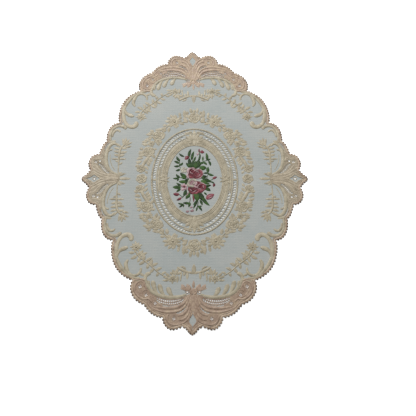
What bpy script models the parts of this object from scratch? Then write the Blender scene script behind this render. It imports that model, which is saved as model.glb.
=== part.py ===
"""An embroidered cutwork doily, 300 x 430 mm: one cloth, lying flat.

The cloth is a sheet with a scalloped picot edge, pierced by its eyelets and
curved slots. Its thick embroidery - the corded edge, the oval medallion, the
scrolls, the flowers and the bouquet - stands up from its face.

The design is drawn in one quarter, in millimetres from the middle, and
mirrored in both axes, except for the bouquet in the medallion.
"""
import math

import bmesh
import bpy
from mathutils import Vector

MM = 0.001

HALF_LENGTH = 215.0
CLOTH = 1.0             # thickness of the plain cloth
CORE = 0.6              # height at which a stitched cord is widest
FLOOR = 0.3             # lowest point of the padding inside the cloth
LAY_BOW = 3.1           # the sheet was laid with its middle this far to one side

PICOT_PITCH = 5.0
PICOT_DEPTH = 1.2
PICOT_SHOULDERS = (0.27, 0.73)  # where a picot's round top begins and ends
EDGE_CORD_INSET = 3.4
EDGE_CORD_STEP = 9.0
EDGE_CORD_WIDTH = 4.4
EDGE_CORD_HEIGHT = 0.8
CURVE_STEPS = 8         # steps between two given points of a smooth line

# The scalloped edge in one quarter, a row for each lobe from one notch to the
# next, from the end tip (0, 215) to the side tip (150, 0).
EDGE_LOBES = (
    ("end tip", ((0, 215), (3, 213.6), (5.5, 211.2), (8.3, 207.7), (12.2, 205.3))),
    ("crown", ((12.2, 205.3), (16, 206.9), (21, 208.6), (26, 208.6), (30.5, 206.4),
               (34, 202.5), (36.3, 198), (37.3, 193.6))),
    ("shoulder", ((37.3, 193.6), (42, 192.6), (47, 190.4), (52, 187), (56, 182.5), (60.3, 177))),
    ("ear", ((60.3, 177), (65, 174.8), (70, 171.3), (74, 166.5), (77, 160.5), (78.3, 154.5),
             (77.9, 149), (77, 145))),
    ("corner", ((77, 145), (83, 142), (90, 137), (96, 130.5), (100.5, 122.5), (103.6, 113),
                (105.2, 103), (105.2, 95), (104.5, 91))),
    ("hip", ((104.5, 91), (110, 89), (114.5, 85), (117.8, 79), (119.8, 71.5), (120.3, 65),
             (120.3, 60))),
    ("waist", ((120.3, 60), (124, 55.5), (126.6, 49), (128.3, 43.5), (129.2, 40))),
    ("fan", ((129.2, 40), (134, 38.8), (138.6, 35.6), (141.6, 30), (142.8, 24), (141.9, 18.5),
             (140.2, 13.6))),
    ("side tip", ((140.2, 13.6), (142.8, 9.6), (146, 6.2), (148.8, 3.6), (150, 0))),
)

# Openings in one quarter: round eyelets, then curved slots with their width.
EYELETS = (
    ("crown", (23, 195.5), 3.6),
    ("shoulder", (46, 174.5), 3.2),
    ("ear outer", (57.5, 164), 3.6),
    ("ear inner", (65.5, 153), 3.6),
    ("fan outer", (132, 26), 3.6),
)
SLOTS = (
    ("crown arch", 2.8, ((12, 171), (16, 174.6), (22, 176.8), (28, 177.2), (35, 176), (42, 172.6))),
    ("side crescent", 2.8, ((113.5, 8), (118.5, 12), (122, 17.5), (124.5, 24.5))),
)

# Raised cords in one quarter: width, height above the cloth, line.
CORDS = (
    ("crown arch", 3.4, 0.7, ((6, 160), (10, 167), (16, 171.6), (22, 173.6), (28, 174), (36, 172.6),
                              (44, 168.4), (51, 162.5), (56.5, 156), (60, 149))),
    ("crown hood", 4.0, 0.7, ((4.5, 166), (8, 173), (14, 178), (22, 180.6), (30, 180.6),
                              (38, 178), (46, 180.5), (53, 175))),
    ("crown leaf", 4.0, 0.6, ((3, 176), (6.5, 188), (13, 196), (18, 200))),
    ("ear scroll", 4.2, 0.7, ((58, 170), (65, 167), (70.5, 160), (70.5, 152), (66, 147.5), (61, 150))),
    ("corner scroll", 3.6, 0.7, ((79, 91), (79.5, 85.5), (84, 82), (90, 82.4), (95.5, 86), (98.6, 93),
                                 (99, 104), (97.4, 115), (93, 125), (88, 131))),
    ("corner drop", 4.6, 0.6, ((94, 113), (90, 109), (85, 103))),
    ("corner leaf", 4.2, 0.6, ((82, 137), (84, 129), (80, 120), (76, 112))),
    ("hip scroll", 3.2, 0.6, ((96, 83), (103, 82), (110, 79), (114, 73), (114.4, 66))),
    ("side scroll", 3.6, 0.7, ((103, 50), (107, 53.5), (112.5, 53), (117, 48), (119, 38), (118, 28),
                               (114.6, 19), (109.5, 11.5), (103, 7))),
    ("side stem", 2.2, 0.5, ((101, 5), (101.5, 20), (101, 34), (99, 46))),
    ("palm rib", 4.0, 0.7, ((103, 4), (114, 4), (126, 8), (136, 14))),
    ("swag leaf", 5.0, 0.5, ((52, 128), (60, 120), (68, 108), (72, 98))),
)

# Oval rings of the medallion: radii across and along, width, height, steps round.
MEDALLION_RINGS = (
    ("rope", 56.4, 81.0, 3.2, 0.9, 48),
    ("inner cord", 37.4, 52.2, 2.6, 0.7, 36),
    ("filled band", 44.4, 62.0, 9.0, 0.55, 40),
    ("ladder cord", 50.4, 73.0, 2.2, 0.6, 40),
)

# Raised flowers in one quarter (those on an axis are not repeated across it).
FLOWERS = (
    ("end rose", (0, 97), 8.5),
    ("end side rose", (26, 91), 8.5),
    ("shoulder rose", (50, 67), 7.5),
    ("flank flower", (60, 50), 7.0),
    ("flank rose", (68, 32), 7.5),
    ("side rose", (70, 12), 7.0),
    ("swag flower", (27, 142), 8.0),
    ("palm bud", (86, 0), 5.0),
    ("end knot", (0, 64), 8.0),
    ("end bud", (0, 128), 4.0),
    ("ear bulb", (66, 151), 4.2),
    ("side flower", (94, 56), 5.5),
)

# The bouquet: roses and buds, then leaves from root to tip, over the whole oval.
BOUQUET_ROSES = (
    ("upper rose", (-1, 11), 8.5),
    ("lower rose", (3, -9), 11.0),
    ("left bud", (-15, -13), 4.5),
    ("top left bud", (-12, 34), 3.6),
    ("top bud", (9, 43), 3.4),
    ("right bud", (26, 2), 3.0),
    ("lower right bud", (21, -25), 5.0),
    ("lower left bud", (-25, -22), 4.0),
)
BOUQUET_LEAVES = (
    ("crest", 5.0, ((-2, 20), (-5, 31), (-8, 47))),
    ("crest middle", 5.0, ((1, 20), (0, 32), (-2, 43))),
    ("crest right", 5.0, ((4, 20), (6, 30), (12, 37))),
    ("crest far right", 4.0, ((10, 22), (14, 32), (16, 42))),
    ("right upper", 5.0, ((10, 16), (16, 14), (20, 28))),
    ("right", 5.0, ((11, 8), (18, 9), (25, 7))),
    ("right lower", 5.0, ((13, -2), (19, -4), (24, -8))),
    ("lower right", 5.0, ((12, -14), (17, -15), (20, -17))),
    ("foot right", 6.0, ((6, -22), (10, -30), (19, -38))),
    ("foot", 6.0, ((3, -21), (2, -32), (6, -47))),
    ("foot left", 5.0, ((-5, -21), (-9, -32), (-18, -40))),
    ("left lower", 5.0, ((-10, -18), (-14, -26), (-20, -30))),
    ("left", 5.0, ((-10, -8), (-20, -9), (-29, -12))),
    ("left middle", 6.0, ((-9, -1), (-16, -1), (-24, 1))),
    ("left upper", 6.0, ((-9, 4), (-15, 7), (-24, 5))),
    ("far left", 4.0, ((-19, 16), (-24, 22), (-28, 28))),
)

SLOT_STEPS = 5
SLOT_END_WIDTH = 0.35   # share of a slot's width that is left at its ends
CORD_END_WIDTH = 0.35
HEIGHT_ROSE = 0.7
HEIGHT_LEAF = 0.45
LEAF_WIDTHS = (0.5, 1.0, 0.15)
ROUND_SIDES = 8
FLOWER_RINGS = 4
WELD = 0.00001          # metres


def smooth_line(points):
    """A Catmull-Rom curve through the points."""
    ends = [points[0]] + list(points) + [points[-1]]
    line = []
    for a, b, c, d in zip(ends, ends[1:], ends[2:], ends[3:]):
        a, b, c, d = Vector(a), Vector(b), Vector(c), Vector(d)
        for step in range(CURVE_STEPS):
            t = step / CURVE_STEPS
            line.append(0.5 * (2 * b + (c - a) * t + (2 * a - 5 * b + 4 * c - d) * t ** 2
                               + (3 * b - a - 3 * c + d) * t ** 3))
    line.append(Vector(points[-1]))
    return line


def point_at(line, share):
    """The point at this share of a line's length, and the line's direction there."""
    goal = length_of(line) * share
    for a, b in zip(line, line[1:]):
        span = (b - a).length
        if goal <= span:
            break
        goal -= span
    else:
        goal = span
    return a.lerp(b, goal / span), (b - a).normalized()


def length_of(line):
    return sum((b - a).length for a, b in zip(line, line[1:]))


def mirrored_round(quarter):
    """A closed outline from one quarter that runs from the Y axis to the X axis."""
    flip = [Vector((p.x, -p.y)) for p in reversed(quarter)]
    right = quarter[:-1] + flip[:-1]
    left = [Vector((-p.x, -p.y)) for p in right]
    return right + left


def picot_stations(count, from_crest, to_crest):
    """Shares of a lobe's length, in picots, where its edge has a point: (place, is_valley)."""
    shift = 0.5 if from_crest else 0.0
    stations = [(0.0, False)] if from_crest else []
    for picot in range(count):
        stations.append((picot + shift, True))
        stations += [(picot + shift + shoulder, False) for shoulder in PICOT_SHOULDERS]
    if to_crest:
        stations += [(count + shift, True), (count + shift + 0.5, False)]
    return stations


def picot_edge():
    """The cloth's edge: lobes with small round picots, valleys at the notches."""
    quarter = []
    last = len(EDGE_LOBES) - 1
    for row, (_, points) in enumerate(EDGE_LOBES):
        line = smooth_line(points)
        picots = round(length_of(line) / PICOT_PITCH)
        stations = picot_stations(picots, row == 0, row == last)
        total = picots + (0.5 if row in (0, last) else 0.0)
        for place, is_valley in stations:
            point, way = point_at(line, place / total)
            sink = PICOT_DEPTH if is_valley else 0.0
            quarter.append(point - Vector((-way.y, way.x)) * sink)
    quarter[0].x = 0.0
    quarter[-1].y = 0.0
    return mirrored_round(quarter)


def edge_cord_line():
    """The line of the corded edge, a little inside the lobes."""
    quarter = []
    for row, (_, points) in enumerate(EDGE_LOBES):
        line = smooth_line(points)
        count = max(3, round(length_of(line) / EDGE_CORD_STEP))
        for i in range(count + 1):
            point, way = point_at(line, i / count)
            on_axis = (row == 0 and i == 0) or (row == len(EDGE_LOBES) - 1 and i == count)
            if i in (0, count) and not on_axis:
                continue
            quarter.append(point - Vector((-way.y, way.x)) * EDGE_CORD_INSET)
    quarter[0].x = 0.0
    quarter[-1].y = 0.0
    return mirrored_round(quarter)


def laid(point):
    """Where a point of the design lies, with the sheet bowed a little sideways."""
    return Vector((point[0] - LAY_BOW * (point[1] / HALF_LENGTH) ** 2, point[1])) * MM


def ellipse(across, along, count):
    turn = 2 * math.pi / count
    return [Vector((across * math.sin(i * turn), along * math.cos(i * turn))) for i in range(count)]


def slot_outline(points, width):
    """A slot along a curve, with narrowed round ends."""
    line = smooth_line(points)
    left, right = [], []
    for i in range(SLOT_STEPS + 1):
        point, way = point_at(line, i / SLOT_STEPS)
        swell = SLOT_END_WIDTH + (1 - SLOT_END_WIDTH) * math.sin(math.pi * i / SLOT_STEPS) ** 0.5
        side = Vector((-way.y, way.x)) * swell * width / 2
        left.append(point + side)
        right.append(point - side)
    return left + right[::-1]


def four_ways(point):
    """The signs of X and Y that repeat a thing at this point in every quarter."""
    across = (1, -1) if abs(point[0]) > 0.01 else (1,)
    along = (1, -1) if abs(point[1]) > 0.01 else (1,)
    return [(sx, sy) for sx in across for sy in along]


def add_spline(curve, points, closed=True, radii=None):
    spline = curve.splines.new("POLY")
    spline.points.add(len(points) - 1)
    for i, point in enumerate(points):
        spline.points[i].co = (*laid(point), 0.0, 1.0)
        spline.points[i].radius = radii[i] if radii else 1.0
    spline.use_cyclic_u = closed


def cloth_sheet(collection):
    """The flat sheet: its outline and openings as one filled curve."""
    curve = bpy.data.curves.new("doily_sheet", "CURVE")
    curve.dimensions = "2D"
    curve.fill_mode = "BOTH"
    curve.extrude = CLOTH * MM / 2
    add_spline(curve, picot_edge())
    for _, centre, width in EYELETS:
        for sx, sy in four_ways(centre):
            hole = ellipse(width / 2, width / 2, ROUND_SIDES)
            add_spline(curve, [Vector((sx * (p.x + centre[0]), sy * (p.y + centre[1]))) for p in hole])
    for _, width, points in SLOTS:
        outline = slot_outline(points, width)
        for sx, sy in four_ways(points[0]):
            add_spline(curve, [Vector((sx * p.x, sy * p.y)) for p in outline])
    sheet = bpy.data.objects.new("doily_sheet", curve)
    sheet.location.z = CLOTH * MM / 2
    collection.objects.link(sheet)
    return sheet


def as_mesh_object(source, name, collection):
    """The evaluated object as a plain mesh object, with its caps welded."""
    bpy.context.view_layer.update()
    depsgraph = bpy.context.evaluated_depsgraph_get()
    mesh = bpy.data.meshes.new_from_object(source.evaluated_get(depsgraph))
    mesh.transform(source.matrix_world)
    body = bmesh.new()
    body.from_mesh(mesh)
    bmesh.ops.remove_doubles(body, verts=body.verts, dist=WELD)
    bmesh.ops.recalc_face_normals(body, faces=body.faces)
    body.to_mesh(mesh)
    body.free()
    mesh.materials.clear()
    bpy.data.objects.remove(source)
    mesh.name = name
    result = bpy.data.objects.new(name, mesh)
    collection.objects.link(result)
    return result


def sunk(z, half_width, height):
    """Height of a stitched cord's point: flattened, and cut off inside the cloth."""
    rise = CLOTH + height - CORE
    return max(CORE + z / half_width * rise, FLOOR) * MM


def add_cord(collection, points, width, height, closed=False, taper=None):
    """A padded cord along a line: a low ridge that is sunk into the cloth."""
    curve = bpy.data.curves.new("cord", "CURVE")
    curve.dimensions = "3D"
    curve.bevel_depth = width * MM / 2
    curve.bevel_resolution = 0
    curve.use_fill_caps = True
    curve.twist_mode = "Z_UP"
    add_spline(curve, points, closed, taper)
    cord = bpy.data.objects.new("cord", curve)
    collection.objects.link(cord)
    cord = as_mesh_object(cord, "cord", collection)
    for vertex in cord.data.vertices:
        vertex.co.z = sunk(vertex.co.z, width * MM / 2, height)
    return cord


def add_flower(collection, centre, radius, height):
    """A low round dome, sunk into the cloth."""
    body = bmesh.new()
    bmesh.ops.create_uvsphere(body, u_segments=ROUND_SIDES, v_segments=FLOWER_RINGS, radius=radius * MM)
    middle = laid(centre)
    for vertex in body.verts:
        vertex.co.z = sunk(vertex.co.z, radius * MM, height)
        vertex.co.x += middle.x
        vertex.co.y += middle.y
    mesh = bpy.data.meshes.new("flower")
    body.to_mesh(mesh)
    body.free()
    flower = bpy.data.objects.new("flower", mesh)
    collection.objects.link(flower)
    return flower


def tapered(count):
    """Radii along a cord that swells in its middle and narrows to its ends."""
    swell = [math.sin(math.pi * i / (count - 1)) for i in range(count)]
    return [CORD_END_WIDTH + (1 - CORD_END_WIDTH) * share for share in swell]


def raised_embroidery(collection):
    """All the raised stitching as separate closed shapes."""
    edge = edge_cord_line()
    shapes = [add_cord(collection, edge, EDGE_CORD_WIDTH, EDGE_CORD_HEIGHT, closed=True)]
    for _, across, along, width, height, count in MEDALLION_RINGS:
        shapes.append(add_cord(collection, ellipse(across, along, count), width, height, closed=True))
    for _, width, height, points in CORDS:
        line = [Vector(p) for p in points]
        for sx, sy in four_ways(points[0]):
            way = [Vector((sx * p.x, sy * p.y)) for p in line]
            shapes.append(add_cord(collection, way, width, height, taper=tapered(len(way))))
    for _, centre, radius in FLOWERS:
        for sx, sy in four_ways(centre):
            shapes.append(add_flower(collection, (sx * centre[0], sy * centre[1]), radius, HEIGHT_ROSE))
    for _, centre, radius in BOUQUET_ROSES:
        shapes.append(add_flower(collection, centre, radius, HEIGHT_ROSE))
    for _, width, points in BOUQUET_LEAVES:
        line = [Vector(p) for p in points]
        shapes.append(add_cord(collection, line, width, HEIGHT_LEAF, taper=LEAF_WIDTHS))
    return shapes


def joined(shapes, name, collection):
    body = bmesh.new()
    for shape in shapes:
        body.from_mesh(shape.data)
        bpy.data.objects.remove(shape)
    mesh = bpy.data.meshes.new(name)
    body.to_mesh(mesh)
    body.free()
    result = bpy.data.objects.new(name, mesh)
    collection.objects.link(result)
    result.hide_render = True
    result.display_type = "WIRE"
    return result


def linen():
    """Pale grey-blue cloth with beige stitching, matt all over."""
    material = bpy.data.materials.new("embroidered linen")
    material.use_nodes = True
    shader = material.node_tree.nodes["Principled BSDF"]
    shader.inputs["Base Color"].default_value = (0.48, 0.45, 0.38, 1.0)
    shader.inputs["Roughness"].default_value = 0.85
    shader.inputs["Metallic"].default_value = 0.0
    return material


def main():
    for old in list(bpy.data.objects):
        bpy.data.objects.remove(old)
    parts = bpy.data.collections.new("lace_doily")
    cutters = bpy.data.collections.new("helpers")
    bpy.context.scene.collection.children.link(parts)
    bpy.context.scene.collection.children.link(cutters)

    cloth = as_mesh_object(cloth_sheet(parts), "doily_cloth", parts)
    stitching = joined(raised_embroidery(cutters), "raised_stitching", cutters)
    union = cloth.modifiers.new("stitching", "BOOLEAN")
    union.operation = "UNION"
    union.solver = "EXACT"
    union.use_self = True
    union.object = stitching
    cloth.data.materials.append(linen())


main()
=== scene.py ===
# %% [markdown]
# # An embroidered cutwork doily
#
# This lesson dresses a flat solid of a lace doily, 300 x 430 mm, with what makes it a doily: a woven
# ground, satin stitching that stands up from it, pierced eyelets and ladders, and a bouquet of roses
# in coloured thread. The solid comes from the CAD part; every piece here lies on it.
#
# Nearly all of the work is one shape made again and again: a column of satin stitch, threads laid
# side by side between two lines. So the lesson first makes a good stitch, and then draws with it.

import math

import bmesh
import bpy
import numpy as np
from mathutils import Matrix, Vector
from mathutils.geometry import delaunay_2d_cdt


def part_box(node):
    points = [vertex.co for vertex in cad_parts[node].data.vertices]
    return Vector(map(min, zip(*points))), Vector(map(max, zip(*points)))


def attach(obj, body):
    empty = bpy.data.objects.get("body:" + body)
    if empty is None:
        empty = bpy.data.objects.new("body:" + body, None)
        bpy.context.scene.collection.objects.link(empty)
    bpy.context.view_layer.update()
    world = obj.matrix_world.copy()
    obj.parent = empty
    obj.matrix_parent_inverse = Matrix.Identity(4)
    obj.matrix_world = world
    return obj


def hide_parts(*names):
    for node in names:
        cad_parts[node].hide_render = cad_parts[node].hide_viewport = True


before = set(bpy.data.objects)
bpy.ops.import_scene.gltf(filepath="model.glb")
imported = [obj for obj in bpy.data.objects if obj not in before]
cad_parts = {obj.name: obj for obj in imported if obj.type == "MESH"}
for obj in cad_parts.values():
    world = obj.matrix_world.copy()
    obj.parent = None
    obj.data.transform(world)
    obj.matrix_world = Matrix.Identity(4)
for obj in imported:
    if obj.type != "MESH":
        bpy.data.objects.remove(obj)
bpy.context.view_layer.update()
low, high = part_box("doily_cloth")
print("CAD box, mm:", [round(1000 * (b - a), 1) for a, b in zip(low, high)])

# %% [markdown]
# ## The sizes of the cloth and of its stitches
#
# All design sizes are in millimetres from the middle of the cloth, X across and Y along. A real
# satin stitch lays its threads about 0.4 mm apart. That is too fine to see at arm's length and it
# would need millions of faces, so each modelled ridge stands for two threads, and a finer bump
# pattern gives it the twist of their plies.

# %% Sizes
MM = 0.001
HALF_LENGTH = 1000 * high.y
HALF_WIDTH = 150.0
LAY_BOW = 3.1              # the sheet was laid with its middle this far to one side
CLOTH_TOP = 0.8            # height of the plain cloth's face above the table
CLOTH_THICK = 0.5
THREAD_PITCH = 0.8         # two threads of 0.4 mm
GROOVE = 0.16              # how deep the furrow between two ridges is
SINK = 0.12                # how far a stitch goes into the cloth at its ends
RIPPLE = 0.35              # how unevenly the cloth lies
PICOT_PITCH = 4.4
print("half width and half length, mm:", HALF_WIDTH, round(HALF_LENGTH, 1))

# %% [markdown]
# ## Lines
#
# A line is an array of points in the flat design. `smooth` runs a curve through a few points, as a
# designer's French curve does, `sampled` divides it evenly, and `sides` gives the two lines at a
# distance on each side of it, between which the stitches go.

# %% Helpers for lines
def smooth(points, steps=12):
    """A Catmull-Rom curve through the points."""
    given = np.array(points, float)
    if len(given) == 2:
        return given[0] + (given[1] - given[0]) * np.linspace(0, 1, steps + 1)[:, None]
    ends = np.vstack([given[:1], given, given[-1:]])
    t = (np.arange(steps) / steps)[:, None]
    spans = []
    for a, b, c, d in zip(ends, ends[1:], ends[2:], ends[3:]):
        spans.append(0.5 * (2 * b + (c - a) * t + (2 * a - 5 * b + 4 * c - d) * t ** 2
                            + (3 * b - a - 3 * c + d) * t ** 3))
    return np.vstack(spans + [given[-1:]])


def lengths_along(line):
    """How far along the line each point is."""
    return np.concatenate([[0], np.cumsum(np.linalg.norm(np.diff(line, axis=0), axis=1))])


def sampled(line, count):
    """The line as this many points at equal distances."""
    along = lengths_along(line)
    goal = np.linspace(0, along[-1], count)
    return np.stack([np.interp(goal, along, line[:, k]) for k in (0, 1)], axis=1)


def normals_of(line, closed=False):
    """Unit vectors to the left of the line's direction."""
    if closed:
        way = np.roll(line, -1, axis=0) - np.roll(line, 1, axis=0)
    else:
        way = np.gradient(line, axis=0)
    left = np.stack([-way[:, 1], way[:, 0]], axis=1)
    return left / np.maximum(np.linalg.norm(left, axis=1), 1e-9)[:, None]


def sides(line, widths):
    """The lines at half a width to the left and to the right."""
    reach = normals_of(line) * (np.asarray(widths, float) / 2)[:, None]
    return line + reach, line - reach


def ring_sides(ring, width):
    """The same for a ring, whose last point is its first."""
    left, right = sides(ring, np.full(len(ring), width))
    left[-1], right[-1] = left[0], right[0]
    return left, right


def come_round(values, axis=0):
    """The values with the first one again at their end, which closes a ring or a row."""
    return np.concatenate([values, np.take(values, [0], axis)], axis)


def read_along(values, share):
    """Values given evenly along a line, read at these shares of its length."""
    return np.interp(share, np.linspace(0, 1, len(values)), values)


def ellipse(centre, across, along, count, first=0.0, last=2 * math.pi):
    """Points round an ellipse, clockwise from its far end; `first` and `last` are turns from there."""
    turn = np.linspace(first, last, count)
    return np.stack([centre[0] + across * np.sin(turn), centre[1] + along * np.cos(turn)], axis=1)


print("a smooth line through 3 points has", len(smooth(((0, 0), (5, 5), (10, 0)))), "points")


# %% [markdown]
# ## The outline
#
# The edge has nine lobes in a quarter, each a curve from one notch to the next, and the two mirror
# planes make the rest. Small knots of thread, the picots, stand along it at even distances. Each
# point of the outline keeps its phase between two picots, so that one can be put on every peak.

# %% The outline
EDGE_LOBES = (  # each starts where the one before it ended
    # the end tip
    ((0, 215), (3, 213.6), (5.5, 211.2), (8.3, 207.7), (12.2, 205.3)),
    # the crown
    ((16, 206.9), (21, 208.6), (26, 208.6), (30.5, 206.4), (34, 202.5), (36.3, 198), (37.3, 193.6)),
    # the shoulder
    ((42, 192.6), (47, 190.4), (52, 187), (56, 182.5), (60.3, 177)),
    # the ear
    ((65, 174.8), (70, 171.3), (74, 166.5), (77, 160.5), (78.3, 154.5), (77.9, 149), (77, 145)),
    # the corner
    ((83, 142), (90, 137), (96, 130.5), (100.5, 122.5), (103.6, 113), (105.2, 103), (105.2, 95),
     (104.5, 91)),
    # the hip
    ((110, 89), (114.5, 85), (117.8, 79), (119.8, 71.5), (120.3, 65), (120.3, 60)),
    # the waist
    ((124, 55.5), (126.6, 49), (128.3, 43.5), (129.2, 40)),
    # the fan
    ((134, 38.8), (138.6, 35.6), (141.6, 30), (142.8, 24), (141.9, 18.5), (140.2, 13.6)),
    # the side tip
    ((142.8, 9.6), (146, 6.2), (148.8, 3.6), (150, 0)),
)
POINTS_A_PICOT = 12


def whole_round(quarter):
    """A closed line from the quarter of it that runs from the Y axis to the X axis."""
    right = np.vstack([quarter[:-1], (quarter * (1, -1))[:0:-1]])
    return np.vstack([right, -right])


def edge_quarter():
    """The edge of one quarter, with the phase of its picots: 0 and 1 in the valleys."""
    points, phases, notch = [], [], ()
    last = len(EDGE_LOBES) - 1
    for row, through in enumerate(EDGE_LOBES):
        line = smooth((*notch, *through))
        notch = through[-1:]
        half = 0.5 if row in (0, last) else 0.0
        picots = round(lengths_along(line)[-1] / PICOT_PITCH) + half
        count = round(picots * POINTS_A_PICOT)
        first = 0.5 if row == 0 else 0.0
        keep = slice(0, count + 1) if row == last else slice(0, count)
        points.append(sampled(line, count + 1)[keep])
        phases.append((np.arange(count + 1) / POINTS_A_PICOT + first)[keep] % 1.0)
    return np.vstack(points), np.concatenate(phases)


edge_points, edge_phase = edge_quarter()
EDGE = whole_round(edge_points)
EDGE_PHASE = np.concatenate([edge_phase[:-1], edge_phase[:0:-1]] * 2)


def soft_normals(line, reach):
    """Outward normals, averaged over a few points so that they fan round the notches."""
    out = normals_of(line, closed=True)
    window = np.hanning(2 * reach + 1)
    padded = np.vstack([out[-reach:], out, out[:reach]])
    mean = np.stack([np.convolve(padded[:, k], window, "valid") for k in (0, 1)], axis=1)
    return mean / np.linalg.norm(mean, axis=1)[:, None]


EDGE_OUT = soft_normals(EDGE, reach=6)


def inside_edge(distance):
    """The closed line this far inside the outline."""
    return EDGE - EDGE_OUT * distance


print("edge:", round(lengths_along(EDGE)[-1]), "mm round,",
      round(len(EDGE) / POINTS_A_PICOT), "picots")

# %% [markdown]
# ## A hoop and a loft
#
# An embroiderer stretches cloth in a hoop. Here a hoop is a set of four open meshes: what is worked
# in the `quarter` is repeated in all four quarters, what lies on the Y axis (`ends`) or on the X
# axis (`sides`) is repeated once, and `whole` isn't repeated. A mirror modifier would do the same
# for one object, but would double what lies on an axis.
#
# `loft` makes the meshes. It takes a Blender grid, moves its points to the rows and columns of an
# array, writes the size of the surface into its UV map in millimetres, and merges the points that
# meet, which closes the tube and its pointed ends. `finish_piece` repeats a hoop, lets it bow and
# ripple as the cloth lies, and makes it one object that rides on the part.

# %% Hoop and loft
WAYS = {"quarter": ((-1, 1), (1, -1)), "ends": ((1, -1),), "sides": ((-1, 1),), "whole": ()}
MERGE = 1e-6               # metres
ON_AXIS = 0.01             # a motif no further than this from an axis lies on it
FAR_END_PAINTED_LIGHT = 0.08                # painted light: paler threads at the far end, darker at the near end
SEED = 30
random = np.random.default_rng(SEED)


def jitter(amount=0.07):
    """A small difference in tone, up or down."""
    return random.uniform(-amount, amount)


def new_hoop():
    """Four empty meshes, one for each part of the design."""
    return {name: bmesh.new() for name in WAYS}


def field_of(points):
    """Which part of the hoop a motif belongs to, by the axis that all of it lies on."""
    spots = np.abs(np.array(points, float).reshape(-1, 2))
    if spots[:, 0].max() < ON_AXIS:
        return "ends"
    return "sides" if spots[:, 1].max() < ON_AXIS else "quarter"


def loft(mesh, points, shade=0.0):
    """A tube over rows of points in mm, each row once round it; `shade` is one value, or one a point."""
    shades = come_round(np.broadcast_to(shade, points.shape[:2]), axis=1).T.ravel()
    points = come_round(points, axis=1)
    rows, columns = points.shape[:2]
    shade_layer = mesh.verts.layers.float.get("shade") or mesh.verts.layers.float.new("shade")
    uv_layer = mesh.loops.layers.uv.verify()
    made = bmesh.ops.create_grid(mesh, x_segments=rows - 1, y_segments=columns - 1, size=0.5)["verts"]
    flat = points.transpose(1, 0, 2).reshape(-1, 3)
    along = np.concatenate([[0], np.cumsum(np.linalg.norm(np.diff(points.mean(1), axis=0), axis=1))])
    steps = np.linalg.norm(np.diff(points, axis=1), axis=2).max(0)
    across = np.concatenate([[0], np.cumsum(steps)])
    place = {}
    for k, vertex in enumerate(made):
        vertex.co = flat[k] * MM
        vertex[shade_layer] = shades[k]
        place[vertex] = (along[k % rows], across[k // rows])
    for face in {face for vertex in made for face in vertex.link_faces}:
        for corner in face.loops:
            corner[uv_layer].uv = place[corner.vert]
    bmesh.ops.remove_doubles(mesh, verts=made, dist=MERGE)


def finish_piece(hoop, name, material, shift=0.0, painted_light_slope=0.0):
    """The hoop's meshes repeated where they belong, laid on the table as one object."""
    joined = bmesh.new()
    for part, mesh in hoop.items():
        for way in WAYS[part]:
            copied = bmesh.ops.duplicate(mesh, geom=mesh.verts[:] + mesh.edges[:] + mesh.faces[:])
            copies = [item for item in copied["geom"] if isinstance(item, bmesh.types.BMVert)]
            bmesh.ops.scale(mesh, vec=(*way, 1), verts=copies)
        step = bpy.data.meshes.new("step")
        mesh.to_mesh(step)
        joined.from_mesh(step)
        mesh.free()
        bpy.data.meshes.remove(step)
    bmesh.ops.recalc_face_normals(joined, faces=joined.faces)
    bmesh.ops.translate(joined, vec=(0, shift * MM, 0), verts=joined.verts)
    data = bpy.data.meshes.new(name)
    joined.to_mesh(data)
    joined.free()
    lay_on_table(data)
    paint_light_along_mat(data, painted_light_slope)
    data.shade_smooth()
    data.materials.append(material)
    piece = bpy.data.objects.new(name, data)
    bpy.context.scene.collection.objects.link(piece)
    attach(piece, "root")
    data.calc_loop_triangles()
    print(f"{name}: {len(data.loop_triangles)} triangles")
    return piece


def paint_light_along_mat(data, painted_light_slope):
    """Painted light and shade: shifts the tone of the threads evenly from the near end to the far end."""
    if painted_light_slope:
        for vertex, tone in zip(data.vertices, data.attributes["shade"].data):
            tone.value += painted_light_slope * vertex.co.y / (HALF_LENGTH * MM)


def lay_on_table(data):
    """Bows the design a little to one side and lets it ripple, as the cloth lies."""
    spots = np.empty(len(data.vertices) * 3, np.float32)
    data.vertices.foreach_get("co", spots)
    spots = spots.reshape(-1, 3)
    x, y = spots[:, 0] / MM, spots[:, 1] / MM
    # Two swells of a few centimetres, which grow from the middle of the mat to its edge.
    swell = (np.sin(x / 31 + 0.8) * np.sin(y / 43 + 0.3) + np.sin(x / 17 - y / 29) * 0.5) / 1.5
    reach = np.clip(np.hypot(x / HALF_WIDTH, y / HALF_LENGTH), 0, 1)
    spots[:, 2] += MM * RIPPLE * reach * np.clip(swell, 0, 1)
    spots[:, 0] -= MM * LAY_BOW * (y / HALF_LENGTH) ** 2
    data.vertices.foreach_set("co", spots.ravel())
    data.update()
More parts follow.
